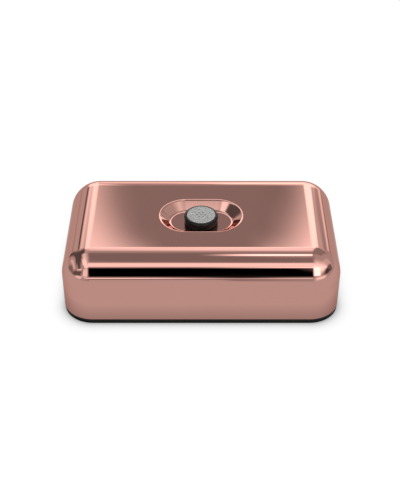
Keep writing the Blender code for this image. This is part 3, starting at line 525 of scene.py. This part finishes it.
def plated_shell():
    """The shell with its dish and tip hole, its screw posts and the openings in its rear wall."""
    shell = loft("plated_shell", shell_stations(), FINISHES["rose_gold"], CORNER_STEPS)
    combine(shell, [*posts("screw_post", BOSS_POST, BOSS_CENTRES),
                    *posts("nozzle_post", NOZZLE_POST, NOZZLE_CENTRES)], "UNION")
    vent_half = (VENT_SIZE[1] - VENT_SIZE[0]) / 2
    vents = rear_opening("vent_cutters", 0, CONTROL_LEVEL, vent_half, VENT_SIZE[0] / 2, upright=True)
    run_tree(vents, TREES["row_of_copies"], {"Count": VENT_COUNT, "Pitch": VENT_PITCH})
    move(vents, Matrix.Translation((VENT_MIDDLE, 0, 0)))
    button_low, button_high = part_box("power_button")
    button_radius = (button_high.z - button_low.z) / 2
    button_half = (button_high.x - button_low.x) / 2 - button_radius
    usb_low, usb_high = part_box("usb_socket")
    led_low, led_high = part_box("light_pipe")
    combine(shell, [
        *posts("screw_bore", BOSS_BORE, BOSS_CENTRES),
        *posts("nozzle_bore", NOZZLE_BORE, NOZZLE_CENTRES),
        vents,
        rear_opening("button_mouth", 0, CONTROL_LEVEL, button_half, button_radius + BUTTON_GAP),
        rear_opening("usb_mouth", (usb_low.x + usb_high.x) / 2, USB_LEVEL, *USB_MOUTH),
        rear_opening("light_mouth", (led_low.x + led_high.x) / 2, CONTROL_LEVEL, 0.01 * MM, LIGHT_MOUTH),
    ], "DIFFERENCE")
    polish_normals(shade(shell))
    return ship(shell, "housing", "rose_gold", "upper_shell")


# ---------------------------------------------------------------- foot, button and tip
def ship(obj, body, slot, *replaced):
    """Puts a finished piece on its body, in place of its plain solids. Its slot is not used."""
    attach(obj, body)
    if replaced:
        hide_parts(*replaced)
    return obj


def vent_screen():
    """A dust screen across the vent slots: two layers of straight crossed wires that touch each other.
    It stands just off the inside of the wall, and nothing modelled holds it."""
    level = REAR - WALL - SCREEN_GAP
    pieces = []
    for name, turned_up, size, count in (("screen_warp", False, SCREEN_SIZE[1], SCREEN_COUNTS[0]),
                                         ("screen_weft", True, SCREEN_SIZE[0], SCREEN_COUNTS[1])):
        half = size / 2
        wire = turned(name, [(0, -half), (SCREEN_WIRE, -half), (SCREEN_WIRE, half), (0, half)],
                      FINISHES["steel"], 2)
        run_tree(wire, TREES["row_of_copies"], {
            "Count": count, "Pitch": SCREEN_PITCH, "Finish": FINISHES["steel"],
        })
        if turned_up:
            move(wire, Matrix.Rotation(math.radians(90), 4, "Y"))
        offset = SCREEN_WIRE if turned_up else -SCREEN_WIRE
        move(wire, Matrix.Translation((VENT_MIDDLE, level + offset, CONTROL_LEVEL)))
        pieces.append(ship(shade(wire), "housing", "steel"))
    return pieces


def rubber_foot():
    """The rubber pad, with softened edges and a grip groove near its rim."""
    low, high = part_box("base_pad")
    reach = high.x - BOX_CORE[0]
    edge = FOOT_EDGE
    groove = low.z + GROOVE_DEPTH
    profile = [
        (0, low.z), (7.2 * MM, low.z), (7.35 * MM, groove), (7.85 * MM, groove), (8.0 * MM, low.z),
        *arc((reach - edge, low.z + edge), edge, -90, 0, 4),
        *arc((reach - edge / 2, high.z - edge / 2), edge / 2, 0, 90, 3),
        (0, high.z),
    ]
    stations = [(HOLE_CORE, 0, low.z), *stations_on(BOX_CORE, profile), (HOLE_CORE, 0, high.z)]
    foot = loft("rubber_foot", stations, FINISHES["black_rubber"], 16)
    return ship(foot, "housing", "black_rubber", "base_pad")


def button_cap():
    """The rear button: crowned, with a shallow thumb hollow."""
    low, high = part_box("power_button")
    radius = (high.z - low.z) / 2
    half = (high.x - low.x) / 2 - radius
    depth = high.y - low.y
    edge = BUTTON_EDGE
    middle = depth - BUTTON_HOLLOW
    hollow = smooth_line([(radius - 1.0 * MM, depth), (radius - 1.7 * MM, depth - 0.22 * MM),
                          (0.001 * MM, middle)], 6)
    crown = arc((radius - edge, depth - edge), edge, 0, 90, 6)
    profile = [(radius, 0), (radius, depth - edge), *crown, *hollow]
    stations = [(HOLE_CORE, 0, 0), *stations_on((half, 0.0), profile), (HOLE_CORE, 0, middle)]
    cap = loft("button_cap", stations, FINISHES["black_plastic"], 12)
    turn = Matrix.Rotation(math.radians(-90), 4, "X")
    move(cap, Matrix.Translation(((low.x + high.x) / 2, low.y, (low.z + high.z) / 2)) @ turn)
    return ship(cap, "button", "black_plastic", "power_button")


def tip_collar():
    """The tip's sleeve: a rolled lip round the disc, a straight neck and the spigot with its groove."""
    seat = TIP_TOP - 0.95 * MM
    foot = DISH_FLOOR + 0.15 * MM
    spigot, core, bore = 3.2 * MM, 2.5 * MM, 1.7 * MM
    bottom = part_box("tip_sleeve")[0].z
    lip = smooth_line([
        (POCKET, TIP_TOP - 0.12 * MM), (5.2 * MM, TIP_TOP - 0.2 * MM), (5.5 * MM, TIP_TOP - 0.42 * MM),
        (5.64 * MM, TIP_TOP - 0.85 * MM), (5.61 * MM, TIP_TOP - 1.3 * MM), (NECK, TIP_TOP - 1.8 * MM),
    ], 6)
    outline = [
        (POCKET, seat), *lip, *arc((NECK - 0.15 * MM, foot + 0.15 * MM), 0.15 * MM, 0, -90, 4),
        (spigot, foot), (spigot, 18.0 * MM), (core, 18.0 * MM), (core, 16.6 * MM), (spigot, 16.6 * MM),
        (spigot, bottom + 0.4 * MM), (2.9 * MM, bottom), (core, bottom), (core, bottom + 1.5 * MM),
        (bore, bottom + 1.5 * MM), (bore, seat - 0.7 * MM), (3.6 * MM, seat - 0.7 * MM), (3.6 * MM, seat),
        (POCKET, seat),
    ]
    collar = turned("tip_collar", outline, FINISHES["black_plastic"], 24)
    return ship(collar, "tip", "black_plastic", "tip_sleeve")


def grit_disc():
    """The drilled plate and the grains bonded to its face."""
    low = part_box("abrasive_disc")[0].z
    face = TIP_TOP - GRAIN
    edge = 0.2 * MM
    disc = turned("grit_disc", [
        (0, low), (DISC_REACH, low), (DISC_REACH, face - edge),
        *arc((DISC_REACH - edge, face - edge), edge, 0, 90, 5), (0, face),
    ], FINISHES["grit"], 24)
    drill = turned("pinholes", [(0, low - MM), (PINHOLE, low - MM), (PINHOLE, face + MM), (0, face + MM)],
                   None, 4)
    run_tree(drill, TREES["circle_of_copies"], {"Count": PINHOLES_ROUND, "Circle Radius": PINHOLE_CIRCLE})
    combine(disc, [drill], "DIFFERENCE")
    shade(disc)
    grains = link_object("grit_grains", disc.data.copy())
    run_tree(grains, TREES["bonded_grit"], {
        "Grains Per Area": GRAINS_PER_SQUARE_METRE, "Grain Radius": GRAIN, "Seed": 11,
        "Finish": FINISHES["grit"],
    })
    ship(grains, "tip", "grit")
    return ship(disc, "tip", "grit", "abrasive_disc")


# ---------------------------------------------------------------- shader groups
def grain_group():
    """Noise as a height and as a value between Low and High. Stretch draws the grain out."""
    tree, given, result = new_tree(
        "surface_grain", "ShaderNodeTree",
        [("Scale", "NodeSocketFloat", 400.0), ("Stretch", "NodeSocketVector", (1.0, 1.0, 1.0)),
         ("Detail", "NodeSocketFloat", 3.0), ("Low", "NodeSocketFloat", 0.0),
         ("High", "NodeSocketFloat", 1.0)],
        [("Value", "NodeSocketFloat"), ("Height", "NodeSocketFloat")],
    )
    coords = place(tree, "ShaderNodeTexCoord").outputs["Object"]
    drawn = place(tree, "ShaderNodeVectorMath", {0: coords, 1: given["Stretch"]}, operation="MULTIPLY")
    noise = place(tree, "ShaderNodeTexNoise", {
        "Vector": drawn.outputs[0], "Scale": given["Scale"], "Detail": given["Detail"], "Roughness": 0.55,
    }).outputs[0]
    value = place(tree, "ShaderNodeMapRange", {
        "Value": noise, "From Min": 0.3, "From Max": 0.7, "To Min": given["Low"], "To Max": given["High"],
    })
    tree.links.new(value.outputs[0], result.inputs["Value"])
    tree.links.new(noise, result.inputs["Height"])
    return tree


def drift_group():
    """Lets one colour drift into another over the surface."""
    tree, given, result = new_tree(
        "colour_drift", "ShaderNodeTree",
        [("Colour", "NodeSocketColor"), ("Other Colour", "NodeSocketColor"),
         ("Scale", "NodeSocketFloat", 60.0), ("Detail", "NodeSocketFloat", 2.0)],
        [("Colour", "NodeSocketColor")],
    )
    coords = place(tree, "ShaderNodeTexCoord").outputs["Object"]
    noise = place(tree, "ShaderNodeTexNoise", {
        "Vector": coords, "Scale": given["Scale"], "Detail": given["Detail"],
    }).outputs[0]
    share = place(tree, "ShaderNodeMapRange", {"Value": noise, "From Min": 0.3, "From Max": 0.7}).outputs[0]
    mixed = place(tree, "ShaderNodeMix", {0: share, 6: given["Colour"], 7: given["Other Colour"]},
                  data_type="RGBA")
    tree.links.new(mixed.outputs[2], result.inputs["Colour"])
    return tree


def cells_group():
    """Packed grains: a height that domes over each cell and a random value for each."""
    tree, given, result = new_tree(
        "packed_cells", "ShaderNodeTree",
        [("Scale", "NodeSocketFloat", 5000.0), ("Low", "NodeSocketFloat", 0.0),
         ("High", "NodeSocketFloat", 1.0)],
        [("Value", "NodeSocketFloat"), ("Height", "NodeSocketFloat")],
    )
    coords = place(tree, "ShaderNodeTexCoord").outputs["Object"]
    cells = place(tree, "ShaderNodeTexVoronoi", {"Vector": coords, "Scale": given["Scale"]})
    pick = place(tree, "ShaderNodeSeparateColor", {0: cells.outputs["Color"]}).outputs[0]
    value = place(tree, "ShaderNodeMapRange", {
        "Value": pick, "To Min": given["Low"], "To Max": given["High"],
    })
    dome = calc(tree, "SUBTRACT", 1.0, calc(tree, "MULTIPLY", cells.outputs["Distance"],
                                            cells.outputs["Distance"]))
    tree.links.new(value.outputs[0], result.inputs["Value"])
    tree.links.new(dome, result.inputs["Height"])
    return tree


# ---------------------------------------------------------------- finishes
def new_finish(name, **constants):
    """A material and its Principled shader, with what is the same all over set on the shader."""
    made = bpy.data.materials.new(name)
    made.use_nodes = True
    tree = made.node_tree
    shader = tree.nodes["Principled BSDF"]
    for socket, value in constants.items():
        shader.inputs[socket.replace("_", " ")].default_value = value
    return made, tree, shader


def bumped(tree, shader, height, distance, strength=1.0):
    bump = place(tree, "ShaderNodeBump", {"Height": height, "Distance": distance, "Strength": strength})
    tree.links.new(bump.outputs[0], shader.inputs["Normal"])


def drifting(tree, shader, colour, other, scale, detail=2.0):
    drift = group_node(tree, GROUPS["drift"], {
        "Colour": (*colour, 1), "Other Colour": (*other, 1), "Scale": scale, "Detail": detail,
    })
    tree.links.new(drift.outputs[0], shader.inputs["Base Color"])


def rose_gold_finish():
    """Mirror plating: a trace of uneven polish, and the faintest swell in the metal under it."""
    made, tree, shader = new_finish("rose_gold_plate", Metallic=1.0, Specular_Tint=(0.80, 0.62, 0.58, 1))
    drifting(tree, shader, (0.700, 0.374, 0.318), (0.690, 0.368, 0.314), 40)
    polish = group_node(tree, GROUPS["grain"], {"Scale": 90, "Detail": 4.0, "Low": 0.018, "High": 0.032})
    tree.links.new(polish.outputs["Value"], shader.inputs["Roughness"])
    swell = group_node(tree, GROUPS["grain"], {"Scale": 70, "Detail": 1.0})
    bumped(tree, shader, swell.outputs["Height"], 0.004 * MM, 0.5)
    return made


def moulded_finish(name, colour, other, rough, gloss_scale=700, depth=0.004, **constants):
    """Moulded plastic or rubber: fine spark texture, drifting gloss and shade."""
    made, tree, shader = new_finish(name, **constants)
    drifting(tree, shader, colour, other, 120)
    gloss = group_node(tree, GROUPS["grain"], {
        "Scale": gloss_scale, "Detail": 3.0, "Low": rough[0], "High": rough[1],
    })
    tree.links.new(gloss.outputs["Value"], shader.inputs["Roughness"])
    spark = group_node(tree, GROUPS["grain"], {"Scale": 6000, "Detail": 2.0})
    bumped(tree, shader, spark.outputs["Height"], depth * MM)
    return made


def metal_finish(name, colour, other, rough, stretch=(1, 1, 1), scale=900, depth=0.003):
    """Turned, drawn or pressed metal. Stretch lays its marks along one direction."""
    made, tree, shader = new_finish(name, Metallic=1.0)
    drifting(tree, shader, colour, other, 150)
    marks = group_node(tree, GROUPS["grain"], {
        "Scale": scale, "Stretch": stretch, "Detail": 4.0, "Low": rough[0], "High": rough[1],
    })
    tree.links.new(marks.outputs["Value"], shader.inputs["Roughness"])
    bumped(tree, shader, marks.outputs["Height"], depth * MM)
    return made


def grit_finish():
    """Nickel-bonded grains, each catching the light its own way."""
    made, tree, shader = new_finish("bonded_nickel_grit", Metallic=0.55)
    cells = group_node(tree, GROUPS["cells"], {"Scale": 7000, "Low": 0.42, "High": 0.68})
    tone = place(tree, "ShaderNodeMix", {
        0: cells.outputs["Value"], 6: (0.37, 0.37, 0.362, 1), 7: (0.60, 0.60, 0.59, 1),
    }, data_type="RGBA")
    tree.links.new(tone.outputs[2], shader.inputs["Base Color"])
    tree.links.new(cells.outputs["Value"], shader.inputs["Roughness"])
    bumped(tree, shader, cells.outputs["Height"], 0.02 * MM)
    return made


def cellular_finish(name, colour, other, scale, rough, depth):
    """Foam and felt: open cells or matted fibre."""
    made, tree, shader = new_finish(name, Roughness=rough)
    drifting(tree, shader, colour, other, scale / 4, 4.0)
    cells = group_node(tree, GROUPS["cells"], {"Scale": scale})
    bumped(tree, shader, cells.outputs["Height"], depth * MM)
    return made


def copper_finish():
    """Enamelled copper wound in fine turns."""
    made, tree, shader = new_finish("enamelled_copper", Metallic=1.0, Roughness=0.3, Coat_Weight=0.5)
    drifting(tree, shader, (0.70, 0.31, 0.16), (0.58, 0.24, 0.12), 300)
    coords = place(tree, "ShaderNodeTexCoord").outputs["Object"]
    turns = place(tree, "ShaderNodeTexWave", {
        "Vector": coords, "Scale": 900, "Distortion": 1.5, "Detail": 1.0, "Detail Scale": 2.0,
    }, wave_type="BANDS", bands_direction="DIAGONAL")
    bumped(tree, shader, turns.outputs["Fac"], 0.04 * MM)
    return made


def board_finish():
    """Solder mask over copper tracks that run in lanes and widen into pads."""
    made, tree, shader = new_finish("solder_mask", Coat_Weight=0.4, Coat_Roughness=0.2)
    coords = place(tree, "ShaderNodeTexCoord").outputs["Object"]
    lanes = place(tree, "ShaderNodeTexBrick", {
        "Vector": coords, "Scale": 160, "Mortar Size": 0.09, "Mortar Smooth": 0.4, "Brick Width": 1.6,
        "Row Height": 0.3, "Color1": (0.008, 0.085, 0.035, 1), "Color2": (0.010, 0.105, 0.042, 1),
        "Mortar": (0.022, 0.19, 0.075, 1),
    })
    tree.links.new(lanes.outputs["Color"], shader.inputs["Base Color"])
    bumped(tree, shader, lanes.outputs["Fac"], 0.03 * MM)
    gloss = group_node(tree, GROUPS["grain"], {"Scale": 500, "Low": 0.28, "High": 0.42})
    tree.links.new(gloss.outputs["Value"], shader.inputs["Roughness"])
    return made


def clear_finish():
    """Clear moulded plastic with faint flow marks."""
    made, tree, shader = new_finish("clear_plastic", Transmission_Weight=1.0, IOR=1.49)
    drifting(tree, shader, (0.93, 0.96, 0.95), (0.88, 0.92, 0.92), 200)
    flow = group_node(tree, GROUPS["grain"], {"Scale": 400, "Low": 0.03, "High": 0.10})
    tree.links.new(flow.outputs["Value"], shader.inputs["Roughness"])
    return made


def make_finishes():
    """One finish for each material slot of the record."""
    black = ((0.010, 0.009, 0.0085), (0.014, 0.013, 0.012))
    return {
        "rose_gold": rose_gold_finish(),
        "black_plastic": moulded_finish("black_moulding", *black, (0.3, 0.4), depth=0.002, IOR=1.3),
        "black_rubber": moulded_finish("black_rubber", (0.005, 0.005, 0.005), (0.009, 0.009, 0.009),
                                       (0.55, 0.72), depth=0.012, IOR=1.22),
        "grit": grit_finish(),
        "steel": metal_finish("bright_steel", (0.62, 0.62, 0.64), (0.54, 0.54, 0.56), (0.2, 0.34),
                              stretch=(1, 6, 1)),
        "brass": metal_finish("brass", (0.78, 0.57, 0.27), (0.66, 0.46, 0.20), (0.24, 0.4),
                              stretch=(5, 1, 1)),
        "copper": copper_finish(),
        "white_plastic": moulded_finish("ivory_moulding", (0.78, 0.78, 0.75), (0.71, 0.71, 0.68),
                                        (0.38, 0.5), depth=0.006),
        "silicone": moulded_finish("silicone", (0.72, 0.74, 0.73), (0.62, 0.65, 0.65), (0.34, 0.5),
                                   depth=0.004, Subsurface_Weight=0.2, Subsurface_Scale=0.002),
        "felt": cellular_finish("felt", (0.84, 0.84, 0.81), (0.70, 0.70, 0.67), 4000, 0.95, 0.06),
        "ferrite": moulded_finish("sintered_ferrite", (0.045, 0.045, 0.05), (0.07, 0.07, 0.075),
                                  (0.55, 0.75), depth=0.02),
        "pouch": metal_finish("laminated_foil", (0.60, 0.62, 0.65), (0.50, 0.52, 0.55), (0.26, 0.42),
                              scale=260, depth=0.05),
        "foam": cellular_finish("open_foam", (0.06, 0.06, 0.065), (0.03, 0.03, 0.033), 2600, 0.95, 0.2),
        "board": board_finish(),
        "clear": clear_finish(),
        "red_wire": moulded_finish("red_insulation", (0.50, 0.016, 0.014), (0.40, 0.012, 0.011),
                                   (0.32, 0.45)),
        "black_wire": moulded_finish("black_insulation", (0.018, 0.018, 0.018), (0.026, 0.026, 0.026),
                                     (0.32, 0.45)),
    }


def coat_frame():
    """Every CAD node that still shows takes the finish of the slot it was packed with."""
    for obj in NODES.values():
        slot = obj.data.materials[0].name.split(".")[0]
        obj.data.materials[0] = FINISHES[slot]


# ---------------------------------------------------------------- studio
# Panels of light and shade round the table. They were fitted to the reflections wanted in the plating
# from the front, so they are finer and more uneven than a plain soft studio, and a name only says
# where its panel lies. Tilt is the angle from straight up towards the front, side is the angle
# towards the right, both in degrees. Glow is set against the table top's own, and lean slides a
# panel sideways as it rises.
# (name, glow, tilt from, tilt to, side from, side to, tilt blur, side blur, lean)
PANELS = [
    ("rear_wash", 2.92, -99.9, -45.2, -25.9, 28.2, 0.8, 3.6, -0.38),
    ("ceiling_wash", 2.29, -58.8, -29.6, -15, 12.1, 8.8, 20, 0.72),
    ("ceiling_shade_right", 0.51, -55.2, -17.4, 11.6, 40.3, 1.6, 3.3, -0.33),
    ("ceiling_shade_left", 0.17, -59, 14.2, -53.8, -23.8, 20.1, 2.5, -0.15),
    ("side_band_right", 1.13, -31.9, 15.5, 46.6, 66, 9.6, 5.1, -0.34),
    ("side_shade_right", 0.31, -26, 48.9, 64.9, 83, 5.3, 1.3, -0.15),
    ("left_shade", 0.18, -90.3, 41.5, -51.6, -40.8, 6.8, 4.1, 0.01),
    ("left_strip", 1.48, -54.5, 31.8, -68.8, -62.3, 3.2, 3.1, -0.04),
    ("left_rim_shade", 0.4, -85, 64.1, -87.1, -73.7, 3.5, 3.2, 0.03),
    ("left_softbox", 1.64, -24.2, 25.9, -32, -0.5, 5.4, 5.1, -0.06),
    ("left_softbox_core", 2.27, 4.1, 41.7, -29.5, -15.9, 14.6, 2.2, 0.27),
    ("key_softbox_wash", 2.63, 18.2, 53.8, 6.5, 59.8, 19.8, 2.6, -0.12),
    ("key_softbox", 3.62, 35.5, 68.9, 1.6, 36, 0.7, 3.2, -0.05),
    ("key_shade", 0.11, 30, 67.6, 51, 74.7, 9.8, 8.9, -0.32),
    ("middle_flag", 0.41, -26.1, 22.1, -14.8, 10.4, 9.9, 9.1, 0.12),
    ("middle_bounce", 2.08, 20.4, 35.0, -14.1, 9.1, 2.8, 2.8, -0.25),
    ("glint_window", 3.3, -16, -7.3, 1.7, 7.3, 0.5, 1.9, -0.01),
    ("rear_flag", 0.42, -71, -51.5, -4, 2.1, 0.5, 0.9, 0.13),
    ("left_window_low", 2.03, 40.9, 55.7, -55.5, -36.5, 2.2, 0.5, -0.33),
    ("left_low_shade", 0.23, 46.6, 77.8, -74.7, -38, 8, 6.6, -0.37),
    ("left_front_wash", 1.82, 44.1, 71.9, -31.2, -14, 4.2, 0.5, -0.08),
    ("horizon_left", 1.75, 73.7, 86.5, -60, -36.9, 4.5, 3.2, -0.68),
    ("horizon_right", 2.18, 74.2, 85.4, 18.9, 57, 7.4, 8.2, -0.44),
    ("front_flag", 0, 38.1, 72.4, -12.5, 10.8, 3.2, 5, 0.07),
    ("horizon_line", 2.95, 76.0, 78.0, -28, 6.9, 1.1, 2.7, 0.01),
    ("front_low_notch", 0.01, 63.3, 77.8, -0.1, 4.8, 3.3, 3.4, -0.03),
    ("rear_low_left_card", 0.78, -82.2, -73.9, -7.4, 0.2, 2.2, 2.4, -0.25),
    ("rear_right_window", 1.82, -89.9, -78.4, 23.2, 38.2, 2.7, 1.8, 0.17),
    ("rear_middle_black_card", 0, -55.2, -55.6, -4.8, 8, 4.8, 0.5, 0.27),
    ("rear_middle_card", 0.72, -67.9, -53.1, -5.6, 6, 1.9, 3.4, -0.01),
    ("rear_middle_grey_card", 0.49, -58.3, -51.4, -5.1, 5, 1.8, 2, 0.12),
    ("rear_left_black_card", 0, -70.5, -66, -32.9, -24.6, 2.8, 1.2, 0.04),
    ("front_low_black_card", 0.03, 81.1, 85.4, -11.4, 2.5, 0.9, 7.4, 0.07),
    ("rear_right_low_card", 0.51, -94.1, -85.7, 33.6, 43.1, 2.2, 3.4, 0.18),
    ("rear_right_card", 0.43, -72.1, -70.2, 32.9, 41.5, 1.5, 1.7, -0.05),
    ("overhead_card", 0.86, -5.2, -1.5, 4.2, 7.4, 1.8, 2.6, 0.01),
    ("rear_right_bounce", 1.1, -65.8, -56.8, 22.7, 34.3, 1.7, 1.1, -0.25),
    ("front_low_bounce", 1.06, 82.8, 88.7, -9.5, 1.7, 2.6, 0.5, 0.16),
    ("rear_left_bounce", 0.97, -83.8, -69.6, -38, -28.3, 2.5, 0.5, 0.02),
    ("rear_right_black_card", 0, -60.1, -54.6, 4.7, 5.2, 3.6, 1.4, -0.11),
    ("ceiling_bounce", 1.86, -48.4, -43, -3.3, -0.1, 2.7, 1.9, -0.04),
    ("rear_left_grey_card", 1.17, -58.1, -49, -7.8, -7.2, 2.5, 2.2, 0.04),
]
ROOM_GLOW = 0.81
PANEL_SOCKETS = ("Glow", "Tilt From", "Tilt To", "Side From", "Side To", "Tilt Blur", "Side Blur", "Lean")


def panel_group():
    """Lays one soft-edged panel over the light so far."""
    tree, given, result = new_tree(
        "studio_panel", "ShaderNodeTree",
        [(title, "NodeSocketFloat") for title in ("Light", "Tilt", "Side", *PANEL_SOCKETS)],
        [("Light", "NodeSocketFloat")],
    )
    middle = calc(tree, "MULTIPLY", calc(tree, "ADD", given["Tilt From"], given["Tilt To"]), 0.5)
    slide = calc(tree, "MULTIPLY", calc(tree, "SUBTRACT", given["Tilt"], middle), given["Lean"])
    spots = {"Tilt": given["Tilt"], "Side": calc(tree, "SUBTRACT", given["Side"], slide)}
    cover = None
    for title in PANEL_SOCKETS[1:5]:
        axis, end = title.split()
        blur = given[f"{axis} Blur"]
        share = place(tree, "ShaderNodeMapRange", {
            "Value": spots[axis],
            "From Min": calc(tree, "SUBTRACT", given[title], blur),
            "From Max": calc(tree, "ADD", given[title], blur),
            "To Min": 0.0 if end == "From" else 1.0,
            "To Max": 1.0 if end == "From" else 0.0,
        }, interpolation_type="SMOOTHSTEP").outputs[0]
        cover = share if cover is None else calc(tree, "MULTIPLY", cover, share)
    mixed = place(tree, "ShaderNodeMix", {0: cover, 2: given["Light"], 3: given["Glow"]}, data_type="FLOAT")
    tree.links.new(mixed.outputs[0], result.inputs[0])
    return tree


def studio_light():
    """The world: white to the camera, and the fitted panels to everything else."""
    world = bpy.data.worlds.new("studio")
    world.use_nodes = True
    tree = world.node_tree
    panel = panel_group()
    direction = place(tree, "ShaderNodeTexCoord").outputs["Generated"]
    unit = place(tree, "ShaderNodeVectorMath", {0: direction}, operation="NORMALIZE").outputs[0]
    x, y, z = place(tree, "ShaderNodeSeparateXYZ", {0: unit}).outputs
    tilt = calc(tree, "DEGREES", calc(tree, "ARCTAN2", calc(tree, "MULTIPLY", y, -1.0), z))
    side = calc(tree, "DEGREES", calc(tree, "ARCSINE", x))
    light = ROOM_GLOW
    for _, *values in PANELS:
        given = {"Light": light, "Tilt": tilt, "Side": side, **dict(zip(PANEL_SOCKETS, values))}
        light = group_node(tree, panel, given).outputs[0]
    above = calc(tree, "GREATER_THAN", z, 0.0)
    light = place(tree, "ShaderNodeMix", {0: above, 2: 1.0, 3: light}, data_type="FLOAT").outputs[0]
    strength = calc(tree, "MULTIPLY", light, STUDIO_LEVEL)
    seen = place(tree, "ShaderNodeLightPath").outputs["Is Camera Ray"]
    shown = place(tree, "ShaderNodeMix", {0: seen, 2: strength, 3: 1.0}, data_type="FLOAT").outputs[0]
    background = tree.nodes["Background"]
    background.inputs["Color"].default_value = (1, 1, 1, 1)
    tree.links.new(shown, background.inputs["Strength"])
    bpy.context.scene.world = world


def table_top():
    """A pale seamless table. Its shade near the foot is painted from the distance to the foot, not
    cast, and camera rays, glossy rays and all others each meet their own strength."""
    half = 2.0
    mesh = bpy.data.meshes.new("table_top")
    corners = [(-half, -half), (half, -half), (half, half), (-half, half)]
    mesh.from_pydata([(x, y, -0.01 * MM) for x, y in corners], [], [(0, 1, 2, 3)])
    table = link_object("table_top", mesh)
    made = bpy.data.materials.new("pale_table")
    made.use_nodes = True
    tree = made.node_tree
    tree.nodes.remove(tree.nodes["Principled BSDF"])
    spot = place(tree, "ShaderNodeNewGeometry").outputs[0]
    x, y, _ = place(tree, "ShaderNodeSeparateXYZ", {0: spot}).outputs
    away = []
    for axis, core in ((x, BOX_CORE[0]), (y, BOX_CORE[1])):
        over = calc(tree, "SUBTRACT", calc(tree, "ABSOLUTE", axis), core)
        away.append(calc(tree, "MAXIMUM", over, 0.0))
    squares = [calc(tree, "MULTIPLY", value, value) for value in away]
    distance = calc(tree, "SUBTRACT", calc(tree, "SQRT", calc(tree, "ADD", *squares)), CORNER)
    near = place(tree, "ShaderNodeMapRange", {
        "Value": distance, "From Min": 0.0, "From Max": SHADOW_REACH, "To Min": FOOT_SHADOW, "To Max": 1.0,
    }).outputs[0]
    fade = calc(tree, "EXPONENT", calc(tree, "DIVIDE", calc(tree, "MAXIMUM", distance, 0.0), -CONTACT_FADE))
    contact = calc(tree, "SUBTRACT", TABLE_GLOW, calc(tree, "MULTIPLY", fade, CONTACT_DEPTH))
    path = place(tree, "ShaderNodeLightPath").outputs
    cloth = place(tree, "ShaderNodeBsdfDiffuse", {"Color": (0.82, 0.82, 0.82, 1)})
    lit = place(tree, "ShaderNodeEmission", {"Strength": contact})
    mirrored = place(tree, "ShaderNodeEmission", {"Strength": calc(tree, "MULTIPLY", near, STUDIO_LEVEL)})
    indirect = place(tree, "ShaderNodeMixShader", {
        0: path["Is Glossy Ray"], 1: cloth.outputs[0], 2: mirrored.outputs[0],
    })
    both = place(tree, "ShaderNodeMixShader", {
        0: path["Is Camera Ray"], 1: indirect.outputs[0], 2: lit.outputs[0],
    })
    tree.links.new(both.outputs[0], tree.nodes["Material Output"].inputs["Surface"])
    mesh.materials.append(made)


def camera():
    """A long lens looking down along +Y."""
    data = bpy.data.cameras.new("camera")
    data.lens = 74.5
    data.sensor_width = 36
    data.clip_start = 0.01
    made = bpy.data.objects.new("camera", data)
    bpy.context.scene.collection.objects.link(made)
    made.location = (-0.37 * MM, -276.08 * MM, 225.93 * MM)
    aim = Vector((-0.37 * MM, 0, 9.08 * MM)) - made.location
    made.rotation_euler = aim.to_track_quat("-Z", "Y").to_euler()
    bpy.context.scene.camera = made


# ---------------------------------------------------------------- everything
GROUPS = {"grain": grain_group(), "drift": drift_group(), "cells": cells_group()}
TREES = {made.name: made for made in (ring_loft_tree(), row_tree(), circle_tree(), grit_tree())}
FINISHES = make_finishes()

coat_frame()
plated_shell()
vent_screen()
rubber_foot()
button_cap()
tip_collar()
grit_disc()

studio_light()
table_top()
camera()
bpy.context.scene.view_settings.view_transform = "Standard"
